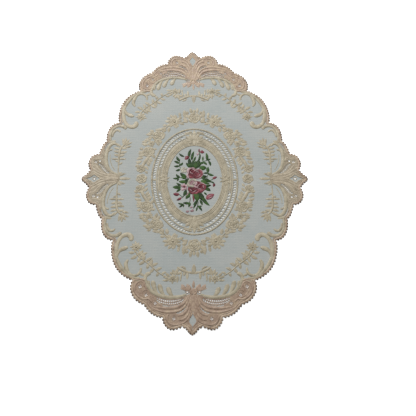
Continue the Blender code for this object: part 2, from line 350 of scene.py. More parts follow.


# %% [markdown]
# ## The satin stitch
#
# `satin` lays threads side by side from a left line to a right line. Two rows of points make one
# ridge: its crest and the furrow beside it. Across, the column is domed, because satin stitch is
# padded, or has a furrow along its middle, as a leaf stitched from both edges to its vein has.
# Where the column is narrow it is also low, so a pointed end comes down to the cloth.
#
# Each point also keeps a tone in an attribute called shade. Painted shade darkens a thread where it
# goes down into the cloth and in the furrows, and a painted highlight lightens its crest. Groups of
# threads drift a little from each other, as dyed thread does. A `bundle` gathers the threads into fat
# strands, which is what makes the medallion's rim look like rope. Curves with a bevel would be
# quicker, but they have no threads across them.

# %% Satin stitch
DOME = 0.55                # how flat-topped a column is: 1 is round, less is flatter
VEIN_WIDTH = 0.12          # of a leaf's furrow, as a share of the leaf's width
TAPER = 0.7                # how fast a column gets lower where it is narrow
STRAND_ROUND = 0.6         # the same as DOME, for the strands of a bundle
ROOT_PAINTED_SHADE = -0.34          # painted shade: threads are darker where they go down into the cloth
OWN_TONE_AT = 0.7          # the height on the dome with no painted tone: painted shade below, painted highlight above
FURROW_PAINTED_SHADE = 0.10         # painted shade in the furrows between threads, painted highlight on their crests
DRIFT = 0.07               # how far groups of threads differ in tone
DRIFT_GROUP = 3            # threads in a group
COLUMNS_ACROSS = (4, 8)    # fewest and most faces across a column
CORD_POINTS = 48           # points along a cord's line, a leaf's and a ring's
LEAF_POINTS = 25
RING_POINTS = 361
LEAF_BELLY = (0.85, 0.8)   # a leaf is widest a little before its middle, and full


def satin(mesh, left, right, height, base=(0.0, 0.0), vein=0.0, slant=0.0, bundle=None,
          pitch=THREAD_PITCH, shade=0.0, closed=False):
    """Threads between two lines of equal count; heights are above the plain cloth."""
    middle = (left + right) / 2
    length = lengths_along(middle)[-1]
    width = np.linalg.norm(left - right, axis=1)
    threads = max(3, round(length / pitch))
    columns = int(np.clip(round(width.max()) * 2, *COLUMNS_ACROSS))
    row = np.linspace(0, 1, 2 * threads + 1)[:, None]
    v = ((1 - np.cos(np.linspace(0, np.pi, columns + 1))) / 2)[None, :]
    u = row + slant * (v - 0.5) * width.max() / length
    u = u % 1.0 if closed else np.clip(u, 0, 1)
    u[-1] = u[0] if closed else u[-1]
    x = read_along(left[:, 0], u) * (1 - v) + read_along(right[:, 0], u) * v
    y = read_along(left[:, 1], u) * (1 - v) + read_along(right[:, 1], u) * v
    here = read_along(width, u)
    dome = np.sin(np.pi * v) ** DOME * (1 - vein * np.exp(-((v - 0.5) / VEIN_WIDTH) ** 2))
    tall = height * np.minimum(here / width.max(), 1) ** TAPER
    ridge = np.where(np.arange(2 * threads + 1) % 2 == 1, 0.5, -0.5)[:, None]
    if closed:
        ridge[-1] = ridge[0]
    z = tall * dome + GROOVE * ridge * dome ** 0.5 * np.minimum(1, here)
    if bundle:
        strand, depth, lean = bundle
        phase = read_along(lengths_along(middle), u) / strand + lean * v
        z = z - depth * tall * dome * (1 - np.abs(np.sin(np.pi * phase)) ** STRAND_ROUND)
    z = z + CLOTH_TOP - SINK + base[0] * (1 - v) + base[1] * v
    drift = np.repeat(random.normal(0, DRIFT, threads // DRIFT_GROUP + 1), 2 * DRIFT_GROUP)
    # Painted shade at the roots and in the furrows, painted highlights on the crests, and drift of the
    # dye.
    tone = shade + ROOT_PAINTED_SHADE * (OWN_TONE_AT - dome) + FURROW_PAINTED_SHADE * ridge
    tone = tone + np.append(drift[:2 * threads], drift[0])[:, None]
    points = np.stack([x, y, z], axis=2)
    if closed:
        points[-1] = points[0]
    loft(mesh, points, tone)


# %% Cords and leaves
def rounded(line, width):
    """Widths of a cord along a line, with round ends; `width` may be one value a given point."""
    along = lengths_along(line)
    widths = read_along(np.atleast_1d(width), np.linspace(0, 1, len(line)))
    left_over = np.minimum(along, along[-1] - along) / (widths / 2)
    return widths * np.sqrt(1 - (1 - np.clip(left_over, 0, 1)) ** 2)


def cord(hoop, points, width, height, **how):
    """A padded satin cord along a smooth line, with round ends."""
    line = sampled(smooth(points), CORD_POINTS)
    left, right = sides(line, rounded(line, width))
    satin(hoop[how.pop("field", field_of(points))], left, right, height, **how)


def leaf_lines(root, tip, width, bend=0.0):
    """The two edges of a leaf, which may bend to the left of its way (bend above 0)."""
    root, tip = np.array(root, float), np.array(tip, float)
    t = np.linspace(0, 1, LEAF_POINTS)[:, None]
    way = tip - root
    left = np.array([-way[1], way[0]])
    line = root + way * t + left * bend * 4 * t * (1 - t)
    belly = np.sin(np.pi * t[:, 0] ** LEAF_BELLY[0]) ** LEAF_BELLY[1]
    return sides(line, width * belly)


def leaf(hoop, root, tip, width, height=0.5, bend=0.0, vein=0.35, **how):
    """A leaf of satin from its root to its tip, with a furrow where the vein is."""
    left, right = leaf_lines(root, tip, width, bend)
    satin(hoop[how.pop("field", field_of((root, tip)))], left, right, height, vein=vein, **how)


test = new_hoop()
cord(test, ((0, 10), (10, 20), (20, 10)), width=3, height=0.8)
print("one cord:", len(test["quarter"].verts), "points")
for mesh in test.values():
    mesh.free()

# %% [markdown]
# ## Materials
#
# **Ground.** Plain-woven polyester and linen: threads about 0.5 mm apart with slubs, thicker places
# some millimetres long. To the eye it is matt and slightly fuzzy, a quiet grey-blue behind the
# stitching, so it has sheen and no gloss.
#
# ** Thread.** Twisted rayon, the usual machine embroidery thread. To the eye it has a soft satin
# shine that turns with the stitch. Its surface is many fine fibres that run across the column,
# which the UV map knows: U runs along the column and V along each thread. The shade attribute and
# a little noise choose the place on the ramp, so one dye gives roots dark with painted shade and
# crests pale with a painted highlight.

# %% Colours and a node helper
def linear(hex_colour):
    """An sRGB hex colour as the linear numbers that Blender uses."""
    parts = [int(hex_colour[k:k + 2], 16) / 255 for k in (0, 2, 4)]
    return (*[p / 12.92 if p <= 0.04045 else ((p + 0.055) / 1.055) ** 2.4 for p in parts], 1.0)


def add_node(tree, kind, links=(), stops=(), **settings):
    """Adds a node, or takes the one of that name: settings are its sockets or its own options, links
    are (socket, output), and stops are the places and hex colours of a ramp."""
    node = tree.nodes.get(kind) or tree.nodes.new(kind)
    for name, value in settings.items():
        socket = name.replace("_", " ")
        if socket in node.inputs:
            node.inputs[socket].default_value = value
        else:
            setattr(node, name, value)
    for socket, output in links:
        tree.links.new(node.inputs[socket], output)
    for k, (place, colour) in enumerate(stops):
        ramp = node.color_ramp.elements
        stop = ramp[k] if k < 2 else ramp.new(place)
        stop.position = place
        stop.color = linear(colour)
    return node


def new_material(name):
    """A material and its node tree."""
    material = bpy.data.materials.new(name)
    material.use_nodes = True
    return material, material.node_tree


print("linear grey of hex 808080:", round(linear("808080")[0], 3))

# %% The ground's weave
WEAVE_PITCH = 3.77         # mm; far coarser than the real 0.5, which is too fine to show
SLUB_LENGTH = 9.0          # mm
SLUB_WIDTH = 0.9           # mm
BROAD_PATCHES = 22.0       # in a metre, so that each is about 45 mm
WEAVE_RELIEF = 0.0002      # metres
WAVE_BAND = math.pi / 10   # Blender's wave texture has one band in this share of a unit at scale 1


def woven_ground():
    """Plain weave: two waves that cross, under slubs and broad patches of tone."""
    material, tree = new_material("plain-woven slubbed ground, matt")
    spot = add_node(tree, "ShaderNodeTexCoord").outputs["Object"]
    waves = []
    for direction in ("X", "Y"):
        wave = add_node(tree, "ShaderNodeTexWave", (("Vector", spot),), bands_direction=direction,
                        Scale=WAVE_BAND / (WEAVE_PITCH * MM), Distortion=0.6, Detail=1.0)
        waves.append(wave.outputs["Fac"])
    weave = add_node(tree, "ShaderNodeMath", ((0, waves[0]), (1, waves[1])), operation="MULTIPLY")
    stretch = add_node(tree, "ShaderNodeMapping", (("Vector", spot),),
                       Scale=(1000 / SLUB_LENGTH, 1000 / SLUB_WIDTH, 1))
    slub = add_node(tree, "ShaderNodeTexNoise", (("Vector", stretch.outputs[0]),), Scale=1.0,
                    Detail=2.0)
    broad = add_node(tree, "ShaderNodeTexNoise", (("Vector", spot),), Scale=BROAD_PATCHES,
                     Detail=3.0)
    mixed = add_node(tree, "ShaderNodeMath", ((0, slub.outputs["Fac"]), (1, broad.outputs["Fac"])),
                     operation="ADD")
    half = add_node(tree, "ShaderNodeMath", ((0, mixed.outputs[0]),), operation="MULTIPLY")
    half.inputs[1].default_value = 0.5
    ramp = add_node(tree, "ShaderNodeValToRGB", (("Fac", half.outputs[0]),),
                    ((0.35, "828886"), (0.5, "8A8D8A"), (0.66, "91928D")))
    height = add_node(tree, "ShaderNodeMath", ((0, weave.outputs[0]), (1, slub.outputs["Fac"])),
                      operation="ADD")
    bump = add_node(tree, "ShaderNodeBump", (("Height", height.outputs[0]),), Strength=0.35,
                    Distance=WEAVE_RELIEF)
    add_node(tree, "Principled BSDF", (("Base Color", ramp.outputs[0]), ("Normal", bump.outputs[0])),
             Roughness=0.9, Specular_IOR_Level=0.2, Sheen_Weight=0.25, Sheen_Roughness=0.5)
    return material


# %% Rayon thread in any colour
THREAD_RELIEF = 0.0001     # metres
PLY_TURN = 0.6             # radians between the plies and the thread that they are twisted into
PLY_SCALE = 1.3            # a band every 0.24 mm, about the width of a ply
DYE_PATCHES = 140.0        # in a metre, so that each is about 7 mm


def rayon_thread(name, dark, middle, light, gloss=0.35, roughness=0.45, fuzz=0.1):
    """Twisted rayon: a soft sheen, the twist of its plies in the bump, and slightly uneven dye."""
    material, tree = new_material(name)
    uv = add_node(tree, "ShaderNodeUVMap").outputs["UV"]
    spot = add_node(tree, "ShaderNodeTexCoord").outputs["Object"]
    ridges = add_node(tree, "ShaderNodeTexWave", (("Vector", uv),), bands_direction="X",
                    Scale=WAVE_BAND / THREAD_PITCH, Distortion=0.3, Detail=0.0)
    twist = add_node(tree, "ShaderNodeMapping", (("Vector", uv),), Rotation=(0, 0, PLY_TURN))
    plies = add_node(tree, "ShaderNodeTexWave", (("Vector", twist.outputs[0]),), Scale=PLY_SCALE,
                     Distortion=0.5)
    relief = add_node(tree, "ShaderNodeMath", ((0, ridges.outputs["Fac"]), (1, plies.outputs["Fac"])),
                      operation="ADD")
    bump = add_node(tree, "ShaderNodeBump", (("Height", relief.outputs[0]),), Strength=0.3,
                    Distance=THREAD_RELIEF)
    shade = add_node(tree, "ShaderNodeAttribute", attribute_name="shade").outputs["Fac"]
    patch = add_node(tree, "ShaderNodeTexNoise", (("Vector", spot),), Scale=DYE_PATCHES,
                     Detail=3.0)
    tone = add_node(tree, "ShaderNodeMath", ((0, shade), (1, patch.outputs["Fac"])), operation="ADD")
    ramp = add_node(tree, "ShaderNodeValToRGB", (("Fac", tone.outputs[0]),),
                    ((0.2, dark), (0.5, middle), (0.8, light)))
    add_node(tree, "Principled BSDF", (("Base Color", ramp.outputs[0]), ("Normal", bump.outputs[0])),
             Roughness=roughness, Specular_IOR_Level=gloss, Sheen_Weight=fuzz)
    return material


# %% The ground and the eight threads
ground_cloth = woven_ground()
# Beige, for nearly all of the work: pale and milky, with a dull shine.
beige_thread = rayon_thread("rayon thread, beige", "766E5A", "887F6B", "958D78", gloss=0.22)
# A browner beige at both ends, which sets the crowns off from the middle.
edge_thread = rayon_thread("rayon thread, warm beige of the ends", "745F4E", "8A7665", "98866F",
                           gloss=0.25)
# Between the two, for the side fans.
fan_thread = rayon_thread("rayon thread, fawn of the fans", "786D5B", "8D826F", "9A8F7B", gloss=0.22)
# The widest range of tones, so that each picot has a dark rim of painted shade and a light crest.
picot_thread = rayon_thread("rayon thread, umber of the picots", "523F2D", "806C58", "9C8A75",
                            gloss=0.3)
# The coloured threads are deeply dyed: matt in the darks, with hardly any fuzz to pale them.
leaf_thread = rayon_thread("rayon thread, dark leaf green", "10200A", "1D3411", "345021",
                           gloss=0.1, roughness=0.5, fuzz=0.0)
crimson_thread = rayon_thread("rayon thread, crimson", "381419", "582129", "763A42",
                              gloss=0.15, roughness=0.5, fuzz=0.0)
# The two light ones are chalky, and lift the petals from the crimson.
pink_thread = rayon_thread("rayon thread, dusty pink", "6E5355", "8C7375", "A08A8A",
                           gloss=0.2, roughness=0.5, fuzz=0.05)
cream_thread = rayon_thread("rayon thread, cream", "6F6C5E", "807C6C", "928E7E",
                            gloss=0.3, roughness=0.5, fuzz=0.05)
print("threads:", [each.name for each in bpy.data.materials if "rayon" in each.name])

# %% [markdown]
# ## The openings
#
# Eyelets are punched and bound, and the wider ones have a cross of two threads. Slots are cut
# between two arcs of cord and crossed by bars. The medallion has two ladders and a few lace arcs,
# rows of small openings between its rings. They are all real holes in the cloth, so whatever lies
# under the doily shows through them.

# %% Openings
CROWN_EYELETS = (  # centre, width
    # in the crown and its shoulder
    ((22.7, 194.4), 3.4),
    ((46, 174.6), 3.2),
    ((56.2, 172.4), 1.8),
    # in the ear, and at the hub
    ((57.5, 164), 3.4),
    ((65.5, 153), 3.6),
    ((7.6, 160), 1.9),
)
FAN_EYELETS = (  # in the fan, and in the lozenge on the axis
    ((132, 26), 3.6),
    ((126.6, 27.6), 2.4),
    ((132.6, 0), 2.6),
)
CROWN_SLOTS = (  # width, bars across it, its middle line
    # three arches
    (1.9, 13, ((12, 169.6), (17, 172.9), (24, 174.8), (31, 174.8), (38, 173), (43.6, 170))),
    (1.9, 12, ((13, 166.8), (18, 169.5), (25, 171.4), (32, 171.4), (38.6, 169.9), (44, 167.1))),
    (0.9, 10, ((17, 175.7), (23, 177.4), (29, 177.7), (36.6, 176.4))),
    # the curved slot above them
    (2.4, 4, ((8.8, 176.2), (10.6, 179.8), (13.2, 182.9), (16.6, 185), (20, 185.9))),
)
FAN_SLOTS = (
    (2.0, 9, ((114.6, 8.6), (118.6, 12.4), (121.8, 17), (124.4, 20.6), (127.4, 22.6))),
)
LADDERS = (  # radii across and along, half length of an opening, openings round, first and last turn
    # the two ladders
    (53.2, 76.9, 1.1, 108, 0.17, 1.53),
    (47.7, 69.6, 1.0, 76, 0.27, 1.33),
    # the lace arcs
    (38.8, 56.0, 0.6, 60, 0.1, 0.42),
)
OVAL_SHIFT = -1.7          # the medallion is sewn a little nearer to one end
LADDER_GAP = 0.38          # share of the pitch that is open
LADDER_LEAN = 0.45         # how far an opening leans over, in pitches
LADDER_POINTS = 721        # round the oval, to find even distances on it
SLOT_POINTS = 13
SLOT_END = 0.35            # the width of a slot at its ends, as a share of its width
EYELET_POINTS = 13


def ladder_openings(across, along, reach, count, first, last):
    """Slanted openings of a ladder in one quarter, each as four corners."""
    arc = lengths_along(ellipse((0, 0), across, along, LADDER_POINTS))
    turns = np.linspace(0, 2 * math.pi, LADDER_POINTS)
    openings = []
    for k in range(count // 4 + 1):
        middle = (k + 0.5) / count
        ends = []
        for side, lean in ((1, LADDER_LEAN), (-1, -LADDER_LEAN)):
            for half in (-LADDER_GAP / 2, LADDER_GAP / 2):
                turn = np.interp((middle + (half + lean * 0.5) / count) * arc[-1], arc, turns)
                grow = side * reach
                ends.append(((across + grow) * math.sin(turn), (along + grow) * math.cos(turn)))
        turn = np.interp(middle * arc[-1], arc, turns)
        if first <= turn <= last:
            openings.append(np.array([ends[0], ends[1], ends[3], ends[2]]))
    return openings


def slot_outline(points, width, grow):
    """A slot along a line, narrower at its ends."""
    line = sampled(smooth(points), SLOT_POINTS)
    swell = SLOT_END + (1 - SLOT_END) * np.sin(np.pi * np.linspace(0, 1, SLOT_POINTS)) ** 0.5
    left, right = sides(line, width * swell + grow)
    return np.vstack([left, right[::-1]])


def quarter_openings(grow=0.0):
    """Outlines of the eyelets and slots in the first quarter, enlarged by `grow` all round."""
    found = [ellipse(centre, width / 2 + grow, width / 2 + grow, EYELET_POINTS)[:-1]
             for centre, width in CROWN_EYELETS + FAN_EYELETS]
    found += [slot_outline(points, width, 2 * grow) for width, _, points in CROWN_SLOTS + FAN_SLOTS]
    return found


ladder_holes = [hole for row in LADDERS for hole in ladder_openings(*row)]
print("in a quarter:", len(ladder_holes), "ladder openings and", len(quarter_openings()),
      "eyelets and slots")

# %% [markdown]
# ## The ground cloth
#
# A sheet with a scalloped outline and hundreds of holes has no primitive, and cutting the holes one
# by one with Booleans would be slow. Constrained triangulation makes it in one step: the outlines
# go in as edges that must be kept, with a loose grid of points between them so that the sheet can
# ripple. The triangles that fall in a hole are dropped, and Solidify gives the cloth its thickness.

# %% The ground cloth
CLOTH_INSET = 2.2          # the cloth ends this far inside the outline, under the beaded band
CLOTH_GRID = 4.0           # between the loose points
GRID_REACH = (148, 212)
GRID_INSET = 3.4
NEAR = 1e-4                # mm; points closer than this are one
QUARTERS = ((1, 1), (-1, 1), (1, -1), (-1, -1))


def inside(points, ring):
    """Which points lie inside a closed ring, by counting its edges to the right of them."""
    x, y = points[:, :1], points[:, 1:]
    a, b = ring, np.roll(ring, -1, axis=0)
    crosses = (a[:, 1] > y) != (b[:, 1] > y)
    slope = (b[:, 0] - a[:, 0]) / np.where(b[:, 1] == a[:, 1], 1e-9, b[:, 1] - a[:, 1])
    return (crosses & (x < a[:, 0] + slope * (y - a[:, 1]))).sum(1) % 2 == 1


def ground_sheet():
    """The cloth's upper face, flat, with all its holes."""
    outline = inside_edge(CLOTH_INSET)[::4]
    holes = []
    for ring in quarter_openings():
        ways = QUARTERS[:2] if field_of(ring.mean(0)) == "sides" else QUARTERS
        holes += [ring * way for way in ways]
    for ring in ladder_holes:
        holes += [ring * way + (0, OVAL_SHIFT) for way in QUARTERS]
    across, along = [np.arange(-reach, reach + 1, CLOTH_GRID) for reach in GRID_REACH]
    grid = np.stack(np.meshgrid(across, along), axis=2).reshape(-1, 2)
    grid = grid[inside(grid, inside_edge(GRID_INSET)[::6])]
    spots, edges = [], []
    for ring in [outline] + holes:
        first, count = len(spots), len(ring)
        spots += [Vector(p) for p in ring]
        edges += [(first + k, first + (k + 1) % count) for k in range(count)]
    spots += [Vector(p) for p in grid]
    points, _, faces, *_ = delaunay_2d_cdt(spots, edges, [], 0, NEAR)
    points = np.array(points)
    centres = points[np.array(faces)].mean(1)
    keep = inside(centres, outline)
    for ring in holes:
        near = np.linalg.norm(centres - ring.mean(0), axis=1) < np.ptp(ring, axis=0).max()
        near[near] = inside(centres[near], ring)
        keep &= ~near
    mesh = bmesh.new()
    corners = [mesh.verts.new((*point * MM, CLOTH_TOP * MM)) for point in points]
    for face, wanted in zip(faces, keep):
        if wanted:
            mesh.faces.new([corners[k] for k in face])
    bmesh.ops.delete(mesh, geom=[v for v in mesh.verts if not v.link_faces], context="VERTS")
    return mesh


cloth_mesh = ground_sheet()
bmesh.ops.recalc_face_normals(cloth_mesh, faces=cloth_mesh.faces)
if sum(face.normal.z for face in cloth_mesh.faces) < 0:
    bmesh.ops.reverse_faces(cloth_mesh, faces=cloth_mesh.faces)
cloth_area = sum(face.calc_area() for face in cloth_mesh.faces)
cloth = finish_piece({"whole": cloth_mesh}, "woven_ground_cloth", ground_cloth)
thick = cloth.modifiers.new("cloth thickness", "SOLIDIFY")
thick.thickness = CLOTH_THICK * MM
thick.offset = -1.0
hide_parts("doily_cloth")
print("cloth area, m2:", round(cloth_area, 4))

# %% [markdown]
# ## Tatami filling
#
# Broad areas aren't spanned by satin stitch, whose long threads would snag. They are filled with
# rows of running thread, side by side. Each thread is a low ridge across the area, left out where
# an opening is. The rows dip where the needle goes down, a little further on in each row.

# %% Filling
FILL_PITCH = 0.95
FILL_GROOVE = 0.1
FILL_STEP = 2.5            # length of a face along a thread
SHORTEST_RUN = 1.0         # a shorter thread is left out
DIP_EVERY = 5.0
DIP_DEPTH = 0.18           # as a share of the thread's height, to each side of its middle
DIP_SHIFT = 1.7            # how much further on the needle goes down in the next row


def spans_across(rings, height):
    """Where a level line at this height is inside the rings, by the even-odd rule."""
    crossings = []
    for ring in rings:
        a, b = ring, np.roll(ring, -1, axis=0)
        cut = (a[:, 1] > height) != (b[:, 1] > height)
        t = (height - a[cut, 1]) / (b[cut, 1] - a[cut, 1])
        crossings += list(a[cut, 0] + t * (b[cut, 0] - a[cut, 0]))
    crossings.sort()
    return list(zip(crossings[::2], crossings[1::2]))


# The default shade is painted shade: filling lies low between raised cords.
def filling(hoop, outline, angle, height=0.16, field="quarter", holes=(), shade=-0.08):
    """Rows of thread at this angle in degrees over an outline, leaving out the holes."""
    turn = math.radians(angle)
    spin = np.array([[math.cos(turn), math.sin(turn)], [-math.sin(turn), math.cos(turn)]])
    rings = [np.array(ring, float) @ spin.T for ring in [outline, *holes]]
    low_row, high_row = rings[0][:, 1].min(), rings[0][:, 1].max()
    for k in range(int((high_row - low_row) / FILL_PITCH)):
        level = low_row + (k + 0.5) * FILL_PITCH
        for start, stop in spans_across(rings, level):
            if stop - start < SHORTEST_RUN:
                continue
            x = np.linspace(start, stop, 3 + max(1, round((stop - start) / FILL_STEP)))
            wave = np.cos(2 * math.pi * (x + DIP_SHIFT * k) / DIP_EVERY)
            rise = height * (1 - DIP_DEPTH + DIP_DEPTH * wave)
            rise[[0, -1]] = -SINK
            half = np.where((x == start) | (x == stop), 0.1, 0.5) * FILL_PITCH
            y = level + np.stack([-half, -half, half * 0, half, half], axis=1)
            z = np.stack([x * 0 - SINK, rise, rise + FILL_GROOVE, rise, x * 0 - SINK], axis=1)
            flat = np.stack([np.repeat(x[:, None], 5, 1), y], axis=2) @ spin
            points = np.concatenate([flat, z[:, :, None] + CLOTH_TOP], axis=2)
            loft(hoop[field], points, shade + jitter(0.05))


def holes_within(outline, grow=0.5):
    """The quarter's eyelets and slots that lie in an outline, enlarged by the width of their binding."""
    outline = np.array(outline, float)
    return [hole for hole in quarter_openings(grow) if inside(hole.mean(0)[None], outline)[0]]


# %% [markdown]
# ## Motifs
#
# The whole design uses five motifs: cords, leaves, daisy-like flowers, roses and bound eyelets.
# Each region of the doily is a few short tables of them. A rose is worked from the outside in:
# crescents that overlap, then a small coiled centre.

# %% Cords, leaves and knots from a chart
KNOT_RIMS = ((0.8, 0.75), (0.3, 1.0), (0.0, 0.8))   # shares of a knot's radius and of its height
KNOT_TONE = 0.1
ROUND_TURNS = np.linspace(0, 2 * math.pi, 11)       # of a knot and of a picot


def work_cords(hoop, rows):
    """All the cords of a table."""
    for width, height, points in rows:
        cord(hoop, points, width, height, shade=jitter())


def work_leaves(hoop, rows, height=0.55, plump=1.0):
    """All the leaves of a table, at one height; `plump` widens them."""
    for width, root, tip, bend in rows:
        leaf(hoop, root, tip, width * plump, height, bend, shade=jitter())


def knot(hoop, centre, radius, height, field):
    """A round knot: a dome closed in the middle."""
    rims = [(radius, -SINK), *((radius * out, height * up) for out, up in KNOT_RIMS), (0.0, -SINK)]
    points = [[(centre[0] + out * math.sin(turn), centre[1] + out * math.cos(turn), CLOTH_TOP + up)
               for out, up in rims] for turn in ROUND_TURNS]
    loft(hoop[field], np.array(points), KNOT_TONE)


# %% Daisies
FLOWER_TIERS = ((1.0, 1.0, 0.5, 0.0), (0.62, 0.8, 0.8, 0.5))   # reach, width, height, turn in petals
FLOWER_EYE = 0.2           # radius of the knot, as a share of the flower's
PETAL_ROOT = 0.12          # where the petals start, as such a share
UNEVEN = 0.09              # petals are longer and shorter by this share in turn


def flower(hoop, centre, radius, petals, turn=0.0, full=0.6):
    """A daisy of narrow petals in two tiers round a knot."""
    field = field_of(centre)
    for reach, width, height, offset in FLOWER_TIERS:
        for k in range(petals):
            angle = 2 * math.pi * (k + turn + offset) / petals
            way = np.array([math.sin(angle), math.cos(angle)])
            length = radius * reach * (1 + UNEVEN * (-1) ** k)
            leaf(hoop, centre + way * radius * PETAL_ROOT, centre + way * length,
                 2 * math.pi * radius * full / petals * width, height, field=field, shade=jitter())
    knot(hoop, centre, radius * FLOWER_EYE, height=1.05, field=field)


# %% Roses
ROSE_RINGS = (  # petals, radius share, width share, length of a petal in petals, height
    (6, 0.78, 0.48, 1.17, 0.5),
    (5, 0.47, 0.40, 1.26, 0.62),
    (3, 0.21, 0.30, 1.71, 0.75),
)
ROSE_EYE = 0.14            # radius of the knot, as a share of the rose's


def crescent(mesh, centre, radius, width, middle, span, height, shade=0.0):
    """A petal of a rose: a satin crescent round the centre."""
    line = ellipse(centre, radius, radius, LEAF_POINTS, middle - span / 2, middle + span / 2)
    swell = width * np.sin(np.pi * np.linspace(0, 1, LEAF_POINTS)) ** 0.6
    left, right = sides(line, swell)
    satin(mesh, left, right, height, shade=shade)


def rose(hoop, centre, radius, turn):
    """Rings of crescents round a knot."""
    field = field_of(centre)
    for petals, at, wide, spread, height in ROSE_RINGS:
        for k in range(petals):
            middle = 2 * math.pi * (k + turn + at) / petals
            crescent(hoop[field], centre, radius * at, radius * wide, middle,
                     2 * math.pi / petals * spread, height, jitter())
    knot(hoop, centre, radius * ROSE_EYE, height=0.85, field=field)


# %% Bound eyelets and bars
BINDING = (1.3, 0.55)      # width and height of the satin round an eyelet
BINDING_POINTS = 33
CROSSED = 3.0              # an eyelet wider than this has a cross of two threads
CROSS_WAYS = ((1, 0.5), (-0.5, 1))
CROSS_LENGTH = 1.12        # of those two ways
CROSS_THREAD = (0.75, 0.3)   # width and height
BAR = (1.25, 0.3)
BAR_GRIP = 0.8             # how far a bar goes over the edge of its slot
BAR_LEAN = 0.5


def bound_eyelet(hoop, centre, width):
    """A ring of satin round an eyelet, over the ends of its cross."""
    if width > CROSSED:
        for way in np.array(CROSS_WAYS):
            reach = way * (width / 2 + 0.3) / CROSS_LENGTH
            cord(hoop, (centre - reach, centre + reach), *CROSS_THREAD, field="quarter")
    radius = width / 2 + BINDING[0] / 2
    left, right = ring_sides(ellipse(centre, radius, radius, BINDING_POINTS), BINDING[0])
    satin(hoop[field_of(centre)], left, right, BINDING[1], closed=True, shade=jitter())


def bars(hoop, width, count, points):
    """Short cords across a slot."""
    line = sampled(smooth(points), count + 2)
    out = normals_of(line)
    for spot, way in zip(line[1:-1], out[1:-1]):
        lean = np.array([way[1], -way[0]]) * BAR_LEAN
        reach = way * (width / 2 + BAR_GRIP)
        cord(hoop, (spot - reach - lean, spot + reach + lean), *BAR, field="quarter")


# %% [markdown]
# ## The edge
#
# The edge is the doily's frame: stitches that go over the cut edge of the cloth, packed into flat
# beads, one to a picot, with a thin cord just inside. The picots are knots of a darker thread, one
# on each peak. Sewing them as satin too would need many more faces; a small dome with ten sides
# looks the same at this size.

# %% Edge
EDGE_BAND = (1.7, 4.6)     # how far inside the outline the beaded band begins and ends
EDGE_BEADS = (0.35, 0.3)   # how deep the furrows between its beads are, and how far they lean
INNER_WIDTH = 1.5          # of the thin cord inside it
INNER_AT = 5.6             # how far inside the outline that cord lies
INNER_POINTS = 2400
PICOT_HALF = 1.6           # half the width of a picot along the edge
PICOT_REACH = 1.9          # half its length across the edge
PICOT_RIMS = ((1.0, 0.1), (0.88, 0.75), (0.5, 1.15), (0.02, 1.25))   # share of its size, height
PICOT_TONE_AND_PAINTED_SHADE = (-0.12, -0.40)   # its tone at its middle, and how much painted shade darkens its outer side
FAR_PICOT_PAINTED_SHADE = -0.06         # painted shade: the far picots, which face the window, are darker, against its light
EDGE_PAINTED_SHADE_FAR = -0.05          # painted shade: the band too is darker towards the far end, which the low light pales
TURNS = ROUND_TURNS[:, None, None]


def picot(mesh, tip, out):
    """One picot: a knot of thread on the edge, with painted shade on its outer side."""
    share = np.array([share for share, _ in PICOT_RIMS])[None, :, None]
    along = np.array([out[1], -out[0]])
    centre = tip - out * PICOT_REACH
    flat = centre + share * (out * PICOT_REACH * np.cos(TURNS) + along * PICOT_HALF * np.sin(TURNS))
    heights = np.array([height for _, height in PICOT_RIMS])[None, :, None] + 0 * flat[:, :, :1]
    points = np.concatenate([flat, heights], axis=2)
    base = points[:, -1:] * (1, 1, 0) + (0, 0, PICOT_RIMS[0][1])
    points = np.concatenate([points, base], axis=1)
    points[-1] = points[0]
    # Painted shade on each picot's outer side, and more of it on the picots at the far end.
    tone = PICOT_TONE_AND_PAINTED_SHADE[0] + PICOT_TONE_AND_PAINTED_SHADE[1] * (share * np.cos(TURNS))[:, :, 0] + jitter(0.08)
    tone = tone + FAR_PICOT_PAINTED_SHADE * tip[1] / HALF_LENGTH
    loft(mesh, points, np.concatenate([tone, tone[:, -1:]], axis=1))


# %% Work the edge
edge_hoop = new_hoop()
peaks = np.flatnonzero(np.abs(EDGE_PHASE - 0.5) < 0.5 / POINTS_A_PICOT)
for k in peaks:
    picot(edge_hoop["whole"], EDGE[k], EDGE_OUT[k])
band_outer, band_inner = [come_round(inside_edge(distance)) for distance in EDGE_BAND]
beads = (lengths_along(EDGE)[-1] / len(peaks), *EDGE_BEADS)
satin(edge_hoop["whole"], band_outer, band_inner, height=0.7, base=(-0.1, 0), bundle=beads,
      closed=True, shade=0.08)
inner_cord = ring_sides(sampled(come_round(inside_edge(INNER_AT)), INNER_POINTS), INNER_WIDTH)
satin(edge_hoop["whole"], *inner_cord, height=0.5, closed=True, shade=0.05)
finish_piece(edge_hoop, "scalloped_picot_edge", picot_thread, painted_light_slope=EDGE_PAINTED_SHADE_FAR)

# %% [markdown]
# ## The crowns at the two ends
#
# Each end has a small diamond of bare cloth in a frame of cord. Five feathers of cord sweep out
# from a hub at the foot of the axis, over three arched slots with bars, and the ground between them
# is filled with rows of thread. The ears at the outer ends are volutes round eyelets. The whole
# crown is worked in a browner thread than the middle, so it is a piece of its own.

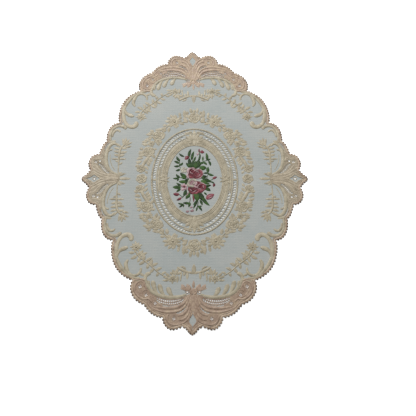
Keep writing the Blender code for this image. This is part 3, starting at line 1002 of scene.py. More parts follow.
# %% Crown and ear
CROWN_FILL = ((0.2, 211), (4, 209), (8, 204.6), (12.2, 202.2), (18, 204.4), (26, 205.4), (31, 201),
              (33.6, 193), (37, 190.2), (46, 187.6), (53, 181.6), (57.4, 175), (63, 172.4), (70, 167),
              (74, 160), (75, 152), (74.4, 146), (77, 142.6), (70, 142), (62, 141), (57.6, 146),
              (57, 151), (54, 157.4), (49, 162.6), (43, 165.6), (35, 168), (27, 169), (18, 167.6),
              (11.6, 165), (5, 163.4), (4.6, 156), (0.2, 155), (0.2, 189.4), (2.4, 193), (4.4, 197),
              (2.3, 200.4), (0.2, 203))
CROWN_CORDS = (  # width or widths, height, points
    # the frame of the diamond, and the line inside the end tip
    (1.6, 0.6, ((0.4, 187.5), (2.9, 191.8), (5.4, 196.3), (5.1, 198.5), (2.7, 201.7), (0.4, 204.7))),
    (1.8, 0.6, ((0.6, 211), (4.6, 207.4), (9.6, 202.9), (13, 202.4))),
    # five feathers, from the foot of the axis up
    ((1.6, 2.8, 4.0, 4.6, 4.6, 4.0, 2.8, 1.8), 0.85,
     ((5.6, 162.6), (8.2, 169.4), (12.2, 175.2), (18.6, 179.2), (27, 180.9), (35, 180.8), (42, 179.8),
      (48.4, 178.4))),
    ((1.4, 2.4, 3.4, 3.8, 3.8, 3.4, 2.6, 1.6), 0.85,
     ((4.6, 164), (6.9, 172), (10, 178.6), (15.4, 183.3), (23, 185.6), (32, 185.9), (41, 184.2),
      (48.6, 181), (53.4, 176.4))),
    ((1.6, 2.8, 3.8, 4.0, 3.2), 0.85,
     ((3.8, 168), (5.6, 177.4), (8.4, 184.6), (13, 189), (18.8, 190.4))),
    ((1.6, 2.6, 3.4, 3.6, 3.0), 0.8,
     ((2.9, 174), (4.1, 183), (6.9, 190.4), (11.4, 194.8), (17.2, 196.4))),
    ((1.4, 2.6, 3.0, 3.0, 3.0, 3.0, 2.4), 0.85,
     ((2.1, 182), (3.8, 190), (7, 196.2), (11.8, 200), (18, 201.8), (25, 201.4), (29.6, 197.4),
      (30.6, 191.6), (28.6, 187.6))),
    # between the slots, over them and under them
    (1.3, 0.5, ((12.6, 168.4), (18, 171.6), (24.6, 173.4), (31.6, 173.4), (38.4, 171.7), (44.4, 168.7))),
    (1.3, 0.5, ((14.6, 173.4), (20, 175.6), (26, 176.4), (32, 176.3), (40, 174.4))),
    (1.2, 0.5,
     ((4.6, 162.4), (9, 165.4), (13.8, 167.7), (20, 169.3), (27, 169.8), (35, 169.1), (43.7, 166.9),
      (50.8, 163.1), (56.4, 157.6), (59.7, 151.2), (61.1, 144))),
    # half of the hub's ring
    (2.0, 0.8, ((3.6, 153.6), (4.6, 157.6), (3, 161.6), (0.6, 163))),
    # the ear: its volute, a line inside it, a ring, a cross line and its foot
    ((2.6, 3.0, 3.2, 3.2, 2.8, 2.4, 2.0), 0.85,
     ((49.6, 173.6), (54, 169), (60, 169.4), (66.4, 166), (71, 160), (71.8, 152.6), (68.6, 147.2),
      (63, 146.4), (60.2, 150.4), (61.4, 154.4))),
    (1.8, 0.6, ((52.6, 164.6), (54.6, 168), (60, 166.4), (64.6, 162.6), (67.6, 157.4))),
    (1.5, 0.7,
     ((53.4, 161.6), (54.8, 158.4), (58.4, 157.4), (61.6, 159.6), (62, 163.4), (59.6, 166.8),
      (56, 167))),
    (1.8, 0.6, ((56.6, 156), (58.6, 153), (60, 147.6))),
    (2.6, 0.75, ((59.4, 145), (65, 143.4), (72, 144.4), (74.6, 148))),
)
CROWN_LEAVES = (  # width, root, tip, bend
    # round the hub
    (3.6, (0, 156), (0, 144.6), 0), (5.0, (1, 155.6), (17, 155), 0.06),
    (5.8, (2.6, 157.4), (8.2, 149), 0.08), (5.6, (8.6, 157.4), (14.6, 149.4), 0.1),
    (4.2, (0, 154.6), (0, 162.6), 0), (3.4, (0.6, 158.6), (4.4, 158.6), 0),
    # up the axis, and beside the diamond
    (4.4, (0, 162), (0, 175.6), 0), (3.6, (0, 173), (0, 187), 0), (3.2, (1.8, 163.6), (3, 175), -0.04),
    (3.0, (12.6, 198.2), (19.6, 199.4), 0.1),
    # in the ear
    (3.6, (61.6, 165), (69.6, 160), 0.14), (3.2, (74, 156), (73.4, 146.6), 0.08),
    (3.0, (62.4, 168.6), (71.4, 163.4), 0.1),
    # in the shoulder
    (3.4, (50, 178.6), (57, 170.4), 0.12), (3.2, (38, 177.4), (43.6, 172.6), 0.1),
)
print("crown:", len(CROWN_CORDS), "cords and", len(CROWN_LEAVES), "leaves in a quarter")

# %% Work the crown
crown_hoop = new_hoop()
filling(crown_hoop, CROWN_FILL, angle=78, holes=holes_within(CROWN_FILL), shade=0.1)
work_cords(crown_hoop, CROWN_CORDS)
work_leaves(crown_hoop, CROWN_LEAVES)
for eyelet in CROWN_EYELETS:
    bound_eyelet(crown_hoop, *eyelet)
for slot in CROWN_SLOTS:
    bars(crown_hoop, *slot)
finish_piece(crown_hoop, "crown_embroidery", edge_thread, painted_light_slope=FAR_END_PAINTED_LIGHT)

# %% [markdown]
# ## Corners and hips
#
# A broad C-scroll stands along the inside of each corner and curls up at its lower end. A frame
# runs outside it, and an arch and a drop between them leave two pockets of bare cloth. A spray of
# paired leaves leads to a daisy nearer the middle. The hip lobe has a smaller scroll with a curl.

# %% Corner and hip
CORNER_CORDS = (
    # the corner's frame, C-scroll, arch and drop
    ((2.6, 4.0, 4.8, 5.0, 4.6, 3.4), 0.7,
     ((66, 141.6), (74, 141.2), (81.6, 137), (88.4, 130), (93.6, 121.6), (97, 112.6))),
    ((2.6, 4.6, 5.4, 5.6, 5.4, 5.2, 5.4, 6.2, 7.2, 7.4, 6.2), 0.85,
     ((97.4, 118), (98, 111), (98, 104), (97.2, 96.6), (95, 89.6), (91, 84.4), (86, 82.4), (82, 83.6),
      (80, 86.4), (80.4, 89.4), (81.8, 91))),
    ((2.4, 3.6, 4.0, 4.0, 4.4, 5.2, 5.0, 2.6), 0.8,
     ((65.6, 127.4), (66, 133), (69.6, 137.4), (74.6, 138.4), (79.6, 136), (83, 130), (84.6, 122.6),
      (82, 116.4))),
    ((2.4, 3.6, 4.2, 4.6, 6.0, 6.4, 5.4), 0.8,
     ((97, 117), (96.4, 110.6), (94, 105.4), (90.4, 102.6), (87, 101.2), (84.8, 101), (83.6, 102))),
    # the stem of the spray, and the bulb where it leaves the ear
    ((1.7, 1.9, 2.1, 2.2, 2.2, 2.0), 0.6,
     ((34, 140), (41.4, 136), (47.6, 131), (54, 124.8), (62, 118.4), (69.4, 112.2), (73.6, 105))),
    ((3.4, 4.4, 4.8, 5.8, 5.4), 0.75,
     ((59.8, 147), (59.8, 142.4), (58.8, 138.4), (55.8, 136), (53.2, 136.8))),
    # the hip's scroll and its curl
    ((3.0, 4.0, 4.4, 4.4, 4.4, 5.4, 5.2), 0.75,
     ((114, 59), (114.6, 67.6), (113, 76), (107.6, 82.4), (100.6, 84), (95.2, 81.6), (94.4, 78))),
    ((2.2, 3.4, 4.2, 3.8, 2.4), 0.7,
     ((111.6, 65.6), (111, 71.6), (107.8, 76.4), (103.8, 76.6), (101, 73.6))),
)
CORNER_LEAVES = (
    # along the spray, from its end
    (4.6, (71.4, 110.4), (79.8, 116), 0.1), (4.8, (72, 110.6), (63.6, 103.6), -0.1),
    (4.2, (74.4, 107), (82.6, 106.4), 0.1), (4.2, (68.4, 112.8), (70.6, 121), 0.1),
    (4.2, (67.6, 113.6), (58, 107.6), 0.1), (4.8, (62, 119), (61.6, 109), 0.1),
    (4.4, (60.6, 119.4), (68, 125), -0.1), (4.4, (60, 120.4), (51.6, 114.6), 0.1),
    (4.0, (57.4, 122.4), (58.6, 130), 0.1), (4.8, (53.4, 126), (51.4, 116), 0.1),
    (4.2, (52, 126.4), (44, 122), 0.1), (4.2, (50.6, 128.4), (54.6, 135), 0.1),
    (4.0, (46.4, 132), (39, 128), 0.1), (3.6, (44.4, 134), (46.4, 140), 0.1),
    (3.4, (39.6, 137), (33.6, 133.6), 0.1),
    # at the bulb, along the frame and at the waist
    (3.6, (60.6, 138.6), (67, 133.6), 0.12), (4.2, (63, 144), (76, 143.6), 0.06),
    (4.6, (119.6, 59), (105.6, 60.4), 0.12),
)
print("corner:", len(CORNER_CORDS), "cords and", len(CORNER_LEAVES), "leaves in a quarter")

# %% Work the corners
corner_hoop = new_hoop()
work_cords(corner_hoop, CORNER_CORDS)
work_leaves(corner_hoop, CORNER_LEAVES, plump=1.05)
flower(corner_hoop, (73, 99.4), radius=8.0, petals=9, turn=0.25)
finish_piece(corner_hoop, "corner_scrolls", beige_thread)

# %% [markdown]
# ## The side fans
#
# A palmette lies on each end of the short axis, from a bud that points to the middle out to the
# tip of the mat, where its ribs frame a lozenge with an eyelet. It is worked in a fawn thread over
# rows of filling, and so is a piece of its own. On either side stands a big open C-scroll with a
# stem of leaves and a blossom in it, and a curved slot with bars lies between scroll and fan.

# %% Side fan
SIDE_FILL = ((98, 0.2), (99, 4.6), (103, 7.4), (108, 9.4), (113.4, 15.6), (117, 23.6), (119, 33),
             (119.6, 42), (120.4, 49), (123, 48.6), (126.6, 42), (129.6, 37.6), (136, 34.6),
             (139.4, 27), (139, 19), (137, 12.6), (141, 7), (146, 2.4), (146, 0.2), (141, 0.2),
             (136.4, 2.4), (133, 5.6), (129.6, 2.4), (125.4, 0.2))
FAN_CORDS = (
    # beside the slot, and over the fan
    ((2.2, 3.2, 3.4, 3.0, 2.4), 0.7, ((117, 6.4), (123, 10), (128, 14.6), (131.4, 19.6), (136.6, 20.6))),
    ((2.4, 3.0, 3.0, 2.4), 0.7, ((121.4, 27), (122.6, 31.6), (127.6, 31.2), (134, 30.6))),
    # ribs of the palmette, the lozenge they frame, and its axis
    ((2.8, 3.8, 4.0, 3.2), 0.7, ((104, 5), (114, 5.6), (124, 8.4), (131.6, 13.2), (138, 18))),
    ((2.6, 3.4, 3.4, 2.6), 0.7,
     ((103, 1.8), (114, 1.8), (122, 3.6), (129, 7.4), (134, 10.4), (139.6, 11.6))),
    (2.2, 0.7, ((125, 1.4), (129.2, 3.6), (133, 7.2), (136.8, 3.8), (141.6, 1.4))),
    (3.4, 0.8, ((126, 0), (112, 0), (100, 0))),
    # into the waist
    (2.2, 0.6, ((122, 45), (123.4, 39), (126, 35), (131, 33.6))),
)
FAN_LEAVES = (
    # at the hub and the tip
    (4.2, (104, 1.6), (110, 8), 0.1), (4.4, (140.6, 1.6), (146.6, 2.8), 0),
    # leaves of the fan
    (4.6, (134.6, 21.6), (139.6, 30), 0.08), (4.6, (134, 17.6), (140.4, 22.6), 0.08),
    (4.4, (128, 15), (134.6, 20.6), 0.1), (4.4, (127.6, 32.6), (134.4, 36), 0.08),
    (4.2, (134.6, 29), (138.4, 33.4), 0.08), (4.2, (121.4, 36), (124, 46.6), 0.06),
)
SIDE_CORDS = (
    # the scroll, its curl and a line inside it
    ((3.0, 4.4, 5.2, 5.2, 5.4, 5.6, 5.6, 5.2, 4.4, 3.6, 3.0), 0.85,
     ((103.4, 50.4), (106, 54.4), (110.4, 55), (114.6, 51.6), (117.4, 45), (118.8, 37), (118.8, 29),
      (117, 20.6), (113.4, 13.6), (108, 9), (101.8, 6))),
    ((1.6, 2.8, 3.6), 0.65, ((117, 41), (114, 44.6), (110.6, 45.4))),
    (1.2, 0.4, ((113.4, 38), (113, 30), (110.6, 21), (106.4, 13.4))),
    # the stem of the blossom
    ((1.7, 1.8, 2.2, 3.2, 3.6, 3.4, 2.4), 0.65,
     ((101.6, 7), (101.6, 16), (101.6, 25), (101.4, 34), (101, 42), (98.6, 49), (93.6, 54.6))),
)

SIDE_LEAVES = (
    # the bud that points to the middle
    (5.0, (101, 0), (83.6, 0), 0), (4.4, (100.6, 2.4), (90.4, 7.4), -0.16),
    (4.2, (101.6, 5), (96, 9.8), -0.12),
    # along the stem
    (3.4, (101.8, 22), (96.4, 26), 0.1), (3.6, (102, 31), (90.8, 31), 0.03),
    (3.6, (101.2, 31), (112.4, 31), -0.03), (4.6, (102.4, 36), (93.6, 38.2), 0.1),
    (4.6, (101, 36.6), (108.6, 38.4), -0.1), (5.0, (101.6, 41), (90.4, 42.6), 0.08),
    (4.6, (100.6, 42.4), (109.4, 43.6), -0.08), (4.4, (100.4, 47), (109, 49.4), -0.08),
    (3.2, (101.6, 26.6), (106.4, 28.6), -0.1), (4.4, (99.6, 47.4), (90.4, 46.6), -0.08),
    (3.6, (99, 49.6), (103.6, 55.6), -0.1),
    # the blossom
    (4.2, (96, 52.4), (97.8, 64), 0.05), (4.4, (95, 52.6), (93, 65.4), 0.03),
    (4.2, (94.6, 52), (87.6, 62.4), -0.03), (4.2, (94.2, 51.6), (83.6, 57.4), -0.05),
    (4.0, (94.2, 50.6), (84.6, 51.6), 0.1),
)
print("side:", len(FAN_CORDS) + len(SIDE_CORDS), "cords and", len(FAN_LEAVES) + len(SIDE_LEAVES),
      "leaves in a quarter")

# %% Work the fans
fan_hoop = new_hoop()
filling(fan_hoop, SIDE_FILL, angle=12, height=0.35, holes=holes_within(SIDE_FILL), shade=0.02)
work_cords(fan_hoop, FAN_CORDS)
work_leaves(fan_hoop, FAN_LEAVES)
for eyelet in FAN_EYELETS:
    bound_eyelet(fan_hoop, *eyelet)
for slot in FAN_SLOTS:
    bars(fan_hoop, *slot)
finish_piece(fan_hoop, "side_fans", fan_thread)

# %% Work the side scrolls
side_hoop = new_hoop()
work_cords(side_hoop, SIDE_CORDS)
work_leaves(side_hoop, SIDE_LEAVES, plump=0.95)
finish_piece(side_hoop, "side_scrolls", beige_thread)

# %% [markdown]
# ## The swags
#
# Under each crown a hood of cord follows its foot, and four drops hang from each half of the hood.
# A bow on the axis and a small daisy carry the line on towards the corners. The swag is worked in
# the beige of the middle, so the hood and drops stand out from the browner crown.

# %% Swag
SWAG_LEAVES = (
    # the bud on the axis, and the bow
    (5.4, (0, 137), (0, 122.4), 0), (3.4, (6.6, 133.8), (1, 136.8), 0.1),
    (3.2, (11.6, 133), (12.4, 139.4), 0.06), (3.6, (14.6, 133.6), (21, 138), -0.1),
    (2.8, (9.6, 130.8), (17.8, 126.4), -0.16),
    # the arms that rise from the bow
    (3.4, (8, 133), (8, 144.6), 0), (3.4, (20.4, 138), (20.4, 148.6), 0.05),
    (4.0, (23, 139), (17.6, 127), 0.08), (3.6, (23.6, 137), (26, 129.6), 0.05),
    # outside the daisy
    (3.4, (30, 144.6), (38.8, 144.9), 0), (3.2, (30, 142), (38.4, 140.4), -0.05),
    (3.6, (29.6, 139.4), (35, 134.6), 0.05), (3.2, (27, 138), (28.8, 133), 0),
)
DROP = (2.4, 3.4, 4.6, 6.0, 6.4, 5.0)
SWAG_CORDS = (
    # the hood
    ((2.8, 4.4, 5.2, 5.4, 5.2, 5.0, 4.6, 3.6), 0.72,
     ((8, 162.6), (14, 165.4), (22, 166.9), (31, 166.9), (40, 165), (48.2, 161.3), (54.3, 155.4),
      (57.7, 149), (59.1, 143))),
    # the bow and its arm
    ((2.4, 3.8, 4.2, 3.8, 2.2), 0.7, ((5, 134.8), (9.6, 133.3), (14, 131.2), (18, 129), (20.8, 126.8))),
    ((1.8, 2.6, 2.2), 0.6, ((16.4, 146), (16, 140), (14.8, 134.6))),
    # the drops
    (DROP, 0.7, ((23.4, 168), (26.2, 164.6), (28.8, 160.8), (30.2, 157), (30.6, 154.8), (30.4, 153.4))),
    (DROP, 0.7, ((33.6, 166.4), (36.8, 162.6), (39.4, 158.2), (41, 153.8), (41.2, 151), (40.8, 149.6))),
    (DROP, 0.7, ((42.4, 164), (45.6, 159.4), (47.8, 154.4), (49.4, 149.6), (49.6, 146.4), (49.2, 145))),
    ((1.4, 3.2, 3.6, 3.0), 0.7, ((52.4, 157), (54.6, 152), (55.4, 145))),
)
print("swag:", len(SWAG_CORDS), "cords and", len(SWAG_LEAVES), "leaves in a quarter")

# %% Work the swags
swag_hoop = new_hoop()
work_cords(swag_hoop, SWAG_CORDS)
work_leaves(swag_hoop, SWAG_LEAVES, plump=1.1)
flower(swag_hoop, (26, 142.6), radius=6.6, petals=8)
finish_piece(swag_hoop, "swags_and_drops", beige_thread)

# %% [markdown]
# ## The wreath
#
# Roses, daisies and leaves go round the medallion. A rose that lies on an axis is worked once and
# repeated once, which its place in the hoop takes care of. Pairs of small leaves fill the gaps, so
# that the wreath reads as one band. Scattering copies by chance would be quicker to write, but this
# wreath is drawn, with its flowers at even distances.

# %% Wreath
WREATH_ROSES = (  # centre, radius, turn
    ((0, 97.4), 9.2, 0.0),
    ((49, 67.8), 8.8, 0.3),
    ((62, 42), 8.6, 0.6),
    ((71.4, 15.2), 6.4, 0.2),
    ((70.2, 0), 7.6, 0.0),
)
WREATH_FLOWERS = (  # centre, radius, petals
    ((27.2, 91.2), 10.4, 11),
    ((58.6, 55.2), 5.8, 8),
)
WREATH_LEAVES = (
    # beyond the rose at the end
    (3.8, (0, 105), (0, 112), 0), (4.0, (4.4, 104.6), (5.4, 114.6), 0.05),
    (5.4, (12.6, 97), (13.8, 111), 0.03), (3.6, (19.4, 98.6), (20.8, 107), 0.05),
    (5.0, (10.8, 88.8), (14.6, 99), 0.08), (3.4, (8.6, 103), (10.2, 109), 0.05),
    (3.8, (9, 93), (16.6, 95.6), 0.1), (3.6, (8, 90), (16.4, 91), 0.06),
    # round the daisy, and the tear below it
    (3.8, (20.6, 88.6), (13.2, 86), -0.05), (4.4, (25, 86), (25, 79.6), 0),
    (4.2, (33.4, 95), (37.8, 98.6), 0), (4.4, (20.6, 94.6), (18, 100.4), 0),
    (4.2, (32, 86.6), (38.4, 83.6), 0), (3.8, (26, 98), (27, 103), 0), (4.4, (34.4, 82.4), (35.4, 73), 0),
    # from the daisy to the rose of the shoulder
    (4.2, (38, 82), (46, 79.4), -0.08), (4.0, (39.6, 80), (43, 73), -0.1),
    (3.8, (42.6, 76.4), (50.4, 78.6), 0.1), (4.2, (41.6, 73), (40, 66), 0.1),
    # round that rose
    (4.4, (55, 71.4), (63.4, 71.8), 0.08), (4.2, (56.4, 66.8), (63, 66), -0.1),
    (4.2, (53.6, 61), (49.6, 54), -0.1), (3.8, (60.6, 58.6), (68.4, 61), 0.1),
    (3.8, (62.6, 55), (69.4, 52), -0.05), (3.8, (45.4, 60.6), (45.6, 54.6), 0.05),
    # round the rose of the flank, and on to the side
    (4.0, (56, 47), (50.4, 46.4), 0.1), (4.2, (69, 47), (74.4, 48), -0.1),
    (4.0, (56.6, 38), (54.6, 31), -0.1), (4.2, (67, 36.4), (75.8, 34.4), 0.1),
    (4.2, (68.6, 32), (78.4, 29.4), 0.1), (4.2, (70.4, 27.6), (77.8, 22.6), 0.05),
    (3.6, (61.6, 31), (57.4, 25.6), -0.1), (3.6, (64.4, 25.4), (60.6, 18.4), -0.1),
    (3.4, (66.6, 19.6), (61.8, 12.6), -0.1), (3.6, (70.6, 37.6), (72.6, 43.6), 0.1),
    # in the gaps
    (3.8, (9.4, 97), (11.6, 104), 0.1), (4.0, (34, 90), (40.6, 91.6), 0.1),
    (3.8, (30, 97), (33.4, 102.6), 0.1), (4.0, (37.6, 84.6), (43.6, 84), 0.1),
    (3.8, (46, 77), (54, 76.6), 0.1), (3.8, (55.6, 73.6), (61, 77), 0.1),
    (4.0, (57.6, 69), (66.6, 69), 0.1), (3.8, (58, 63), (66.4, 64), -0.1),
    (3.8, (48, 61), (44, 56.6), 0.1), (4.0, (52, 58), (48, 50.6), -0.1),
    (4.0, (63.6, 57), (72, 57.4), 0.1), (4.0, (64, 52), (72.6, 54.6), 0.1),
    (3.8, (68.6, 42), (75.6, 43), -0.1), (3.8, (68, 38.6), (76.6, 38.4), 0.1),
    (3.8, (60, 33.6), (55.6, 27), 0.1), (3.6, (63, 28), (58.4, 21.6), -0.1),
    (3.8, (72.4, 24), (79, 26), 0.1), (3.8, (73.6, 20.6), (79.4, 18), 0.1),
    (3.4, (66, 11.6), (62.6, 7), -0.1),
)
WREATH_STEMS = (
    (1.6, 0.5, ((8, 91.6), (14, 90), (19, 89.6))),
    (1.8, 0.55, ((34, 86), (38.6, 80.8), (44, 74.6))),
    (1.8, 0.55, ((53, 61.4), (57.6, 54), (60.4, 49))),
    ((3.4, 4.8, 5.0, 4.4, 3.6), 0.6, ((60.8, 36), (63.4, 31), (66.4, 26), (68.8, 21), (70.6, 17))),
)
print("wreath:", len(WREATH_ROSES) + len(WREATH_FLOWERS), "flowers and", len(WREATH_LEAVES),
      "leaves in a quarter")

# %% Work the wreath
wreath_hoop = new_hoop()
work_cords(wreath_hoop, WREATH_STEMS)
work_leaves(wreath_hoop, WREATH_LEAVES, height=0.5, plump=1.15)
for place in WREATH_ROSES:
    rose(wreath_hoop, *place)
for place in WREATH_FLOWERS:
    flower(wreath_hoop, *place, turn=0.5, full=0.75)
finish_piece(wreath_hoop, "flower_wreath", beige_thread)

# %% [markdown]
# ## The medallion
#
# From outside in, the oval ring is a rope, a ladder of slanted openings, a cord, a second ladder,
# a broad band of padded satin, and a last cord round the bare oval. A palmette covers the joins of
# the rings at each end of the long axis, and a small cross at each side. The oval is sewn a little
# off the middle of the mat, so the piece is shifted as a whole.

# %% Medallion
RINGS = (  # radii across and along, width, height, bundle (strand, depth, lean) or None
    (56.5, 80.4, 2.7, 0.75, (3.9, 0.5, 0.6)),     # the rope
    (50.3, 73.2, 2.0, 0.55, (3.9, 0.35, 0.5)),    # cord between the ladders
    (45.6, 67.1, 1.4, 0.5, None),                 # outer edge of the band
    (42.6, 62.6, 1.2, 0.42, None),                # line along the band
    (40.5, 58.2, 1.6, 0.5, None),                 # inner edge of the band
    (37.0, 53.9, 2.0, 0.6, None),                 # round the bare oval
)
BAND = (  # outer and inner radii, height, shade of the satin between the rings
    ((45.2, 66.6), (40.6, 58.6), 0.36, -0.04),
    # The inner band is darker with painted shade, for the groove between the cords on each side of it.
    ((40, 57.6), (37.4, 54.6), 0.3, -0.1),
)
SIDE_BAND = ((49.2, 72.2), (46.2, 67.8))   # the same in place of the inner ladder at the sides
SIDE_BAND_TURN = 1.31      # where it starts
SIDE_BAND_POINTS = 61
RUNG = (1.4, 0.3)          # width and height
RUNG_PITCH = 0.7
RUNG_GRIP = 0.3            # how far a rung goes over the edges of its ladder
MEDALLION_CORDS = (
    # an arm of the palmette, and a bridge at each side
    ((3.0, 3.4, 2.4), 0.6, ((3, 75.6), (8.4, 74.4), (13.6, 72.4))),
    (3.4, 0.4, ((50, 0), (53, 0), (56, 0))),
)
MEDALLION_LEAVES = (
    # the palmette
    (6.4, (0, 61), (0, 79), 0), (5.4, (0, 64), (0, 52.6), 0), (5.2, (1.4, 61), (7.6, 74), 0.05),
    (5.4, (2.6, 60.6), (12.6, 69), 0.05), (5.0, (3, 59.6), (13.6, 62.4), 0.05),
    (4.0, (1.6, 59), (8.6, 56.4), 0.08),
    # the cross at each side
    (4.0, (35.6, 0), (47, 0), 0), (3.2, (42, 1.6), (32.6, 4), 0.1), (3.0, (38.4, 3.6), (41.6, 9), -0.1),
    (3.0, (43.4, 1.6), (48, 6), 0.1),
)
print("medallion:", len(RINGS), "rings and", len(BAND), "bands of satin")

# %% Work the medallion
ring_hoop = new_hoop()
for across, along, width, height, bundle in RINGS:
    line = ellipse((0, 0), across, along, RING_POINTS)
    if bundle:
        length = lengths_along(line)[-1]
        bundle = (length / round(length / bundle[0]), *bundle[1:])
    satin(ring_hoop["whole"], *ring_sides(line, width), height, bundle=bundle, closed=True,
          shade=jitter(0.05))
for outer, inner, height, tone in BAND:
    satin(ring_hoop["whole"], ellipse((0, 0), *outer, RING_POINTS),
          ellipse((0, 0), *inner, RING_POINTS), height, closed=True, shade=tone)
side_lines = [ellipse((0, 0), *radii, SIDE_BAND_POINTS, SIDE_BAND_TURN, math.pi / 2)
              for radii in SIDE_BAND]
satin(ring_hoop["quarter"], *side_lines, height=0.42, shade=-0.04)


def ladder_rungs(hoop, across, along, reach, *places):
    """A short bar of satin between each pair of openings."""
    holes = ladder_openings(across, along, reach + RUNG_GRIP, *places)
    for one, other in zip(holes, holes[1:]):
        outer = (one[1] + other[0]) / 2
        inner = (one[2] + other[3]) / 2
        cord(hoop, (inner, outer), *RUNG, field="quarter", pitch=RUNG_PITCH, shade=jitter())


for ladder in LADDERS:
    ladder_rungs(ring_hoop, *ladder)
work_cords(ring_hoop, MEDALLION_CORDS)
work_leaves(ring_hoop, MEDALLION_LEAVES, height=0.8)
finish_piece(ring_hoop, "medallion_ring", beige_thread, shift=OVAL_SHIFT)

# %% [markdown]
# ## The bouquet
#
# The bouquet is the only part in colour and the only one that isn't mirrored. An embroiderer works
# it one thread after another, so it is four pieces: leaves, then cream, pink and crimson petals.
# The leaves come first and the roses lie over their roots.

# %% Leaves of the bouquet
BOUQUET_LEAVES = (  # width, root, tip, bend
    # under the roses
    (7.0, (4, 16), (-7, 26), 0.05), (7.0, (0, 16), (3, 27), 0), (6.0, (-6, 0), (-15, -4.6), 0.06),
    (6.0, (8, -3), (17, -8), 0.06), (7.0, (0, -20), (1, -31), 0),
    # at the far end
    (4.2, (-7.4, 32), (-4.2, 47), 0.08), (4.2, (-3.6, 28), (-0.4, 43.4), 0.06),
    (3.0, (-0.8, 26), (2.2, 35), 0.06), (3.0, (4.4, 26), (7.6, 39.4), -0.06),
    (2.6, (11.2, 27), (11.7, 35.4), 0.04), (4.0, (16.2, 28), (15.4, 40.6), -0.08),
    # broad ones behind the upper rose
    (6.0, (-0.6, 17.2), (-11.6, 25), 0.1), (5.0, (-5.6, 21), (-6.8, 32.4), 0.05),
    (5.0, (-1, 18), (-2.4, 29), 0), (7.2, (4.4, 16.4), (5, 30), -0.03), (4.6, (1, 19), (1.6, 28), 0),
    # on the right, from the far end
    (3.6, (11.2, 25.6), (16.4, 20.6), 0.1), (3.0, (17.2, 28), (21.6, 30.4), 0.1),
    (3.4, (18.2, 28), (21.2, 19.2), 0.1), (2.6, (7.4, 21.6), (13.4, 25), 0.1),
    (8.0, (6, 15.4), (16.4, 16.4), 0.05), (4.6, (18.4, 9.4), (18.4, 18.4), 0.1),
    (3.0, (11.6, 7.8), (19.6, 8), 0.1), (3.6, (17.6, 8.4), (26, 5.2), -0.12),
    (6.0, (7.6, 0.4), (17, 3), 0.1), (5.4, (10, -0.6), (22.4, -6), 0.06),
    (2.2, (21, -4), (26.8, -8.4), 0.05), (4.2, (14.4, -12.4), (22, -10.4), 0.1),
    (5.6, (12.4, -14), (21, -19.4), 0.08), (3.4, (13, -8), (20, -7.4), 0.08),
    # on the left, from the far end
    (3.2, (-13.4, 34.2), (-21, 39.8), 0.1), (3.8, (-19.4, 27), (-24, 35.2), 0.1),
    (4.0, (-20.8, 23), (-27.8, 27), -0.1), (3.6, (-20.4, 20.2), (-15.6, 25.4), -0.1),
    (3.6, (-20, 20), (-28, 19.6), 0.1), (3.6, (-19.4, 15), (-25.6, 12), 0.1),
    (5.8, (-10, 2.4), (-19.2, 9.6), 0.1), (3.8, (-10.6, 0.8), (-18.6, 2.2), 0.05),
    (3.6, (-18.8, 1.4), (-24.6, 7.4), 0.12), (3.2, (-21, 1.2), (-29, 0.8), 0.1),
    (2.8, (-21.4, 1), (-23.4, -4), 0.06), (5.4, (-10.6, -3.4), (-21.4, -4), 0.1),
    (5.4, (-7.6, -2.6), (-13.4, -8.6), 0.06), (3.2, (-17.4, -10), (-24.2, -6), 0.1),
    (6.0, (-17.6, -12.4), (-29.6, -12.6), 0.05), (3.8, (-18.4, -14.4), (-24.2, -20.2), 0.05),
    (4.8, (-11.4, -16.4), (-14.8, -27), 0.05),
    # at the near end, with its sprigs
    (5.8, (-7, -20), (-11.8, -31), 0.06), (4.2, (-6.2, -36.6), (-15.2, -35.8), 0.08),
    (3.6, (-6.6, -35.4), (-8.2, -43), 0.1), (2.6, (-14.6, -38), (-22, -36.4), 0.1),
    (2.8, (-15, -38), (-20.4, -43.4), 0.05), (2.4, (-15, -38), (-14.4, -43.4), 0.05),
    (8.0, (3, -20), (3.4, -35), 0), (7.4, (6, -20), (13.4, -35), -0.05),
    (5.0, (9.4, -25), (20.4, -41), -0.1), (3.6, (6.6, -32), (10, -40.4), 0.06),
    (3.6, (4.4, -31), (-2.4, -39.6), 0.06), (2.8, (3.6, -36), (-1.4, -45.6), -0.08),
    (3.4, (3.4, -40), (9.8, -49), 0.06), (2.6, (4.6, -42.6), (10.2, -41.4), 0.1),
    (2.4, (3.2, -42), (1.8, -49), 0.05), (2.8, (12, -20.6), (16, -25.6), 0.05),
)
BOUQUET_STEMS = (  # width, points
    # on the left, with the stems of its buds
    (1.1, ((-17, 13), (-19.6, 18), (-20.4, 24), (-19.6, 30))),
    (1.1, ((-12, 1), (-18, 1.6), (-23, 1))),
    (1.1, ((-12.6, -24), (-15.6, -27.4), (-20.6, -23.6))),
    (1.1, ((-13.6, -25), (-15.4, -28), (-18.6, -29.4))),
    # at the near end
    (1.1, ((-6.6, -24), (-5.8, -32), (-7, -36.6))),
    (1.1, ((-12, -35), (-14.6, -38), (-18, -38))),
    # on the right, and at both ends
    (1.2, ((7.6, 24.6), (13, 27), (18.6, 29))),
    (1.2, ((19, -4.6), (22, -2), (25, -0.6))),
    (1.2, ((21, -5), (24.6, -7), (26, -9))),
    (1.2, ((4.6, -34), (4, -40), (3, -44))),
    (1.4, ((5, 28), (6.8, 35), (6.6, 42))),
    (1.0, ((15, -4), (17, 4), (18, 9))),
)
print("bouquet:", len(BOUQUET_LEAVES), "leaves and", len(BOUQUET_STEMS), "stems")

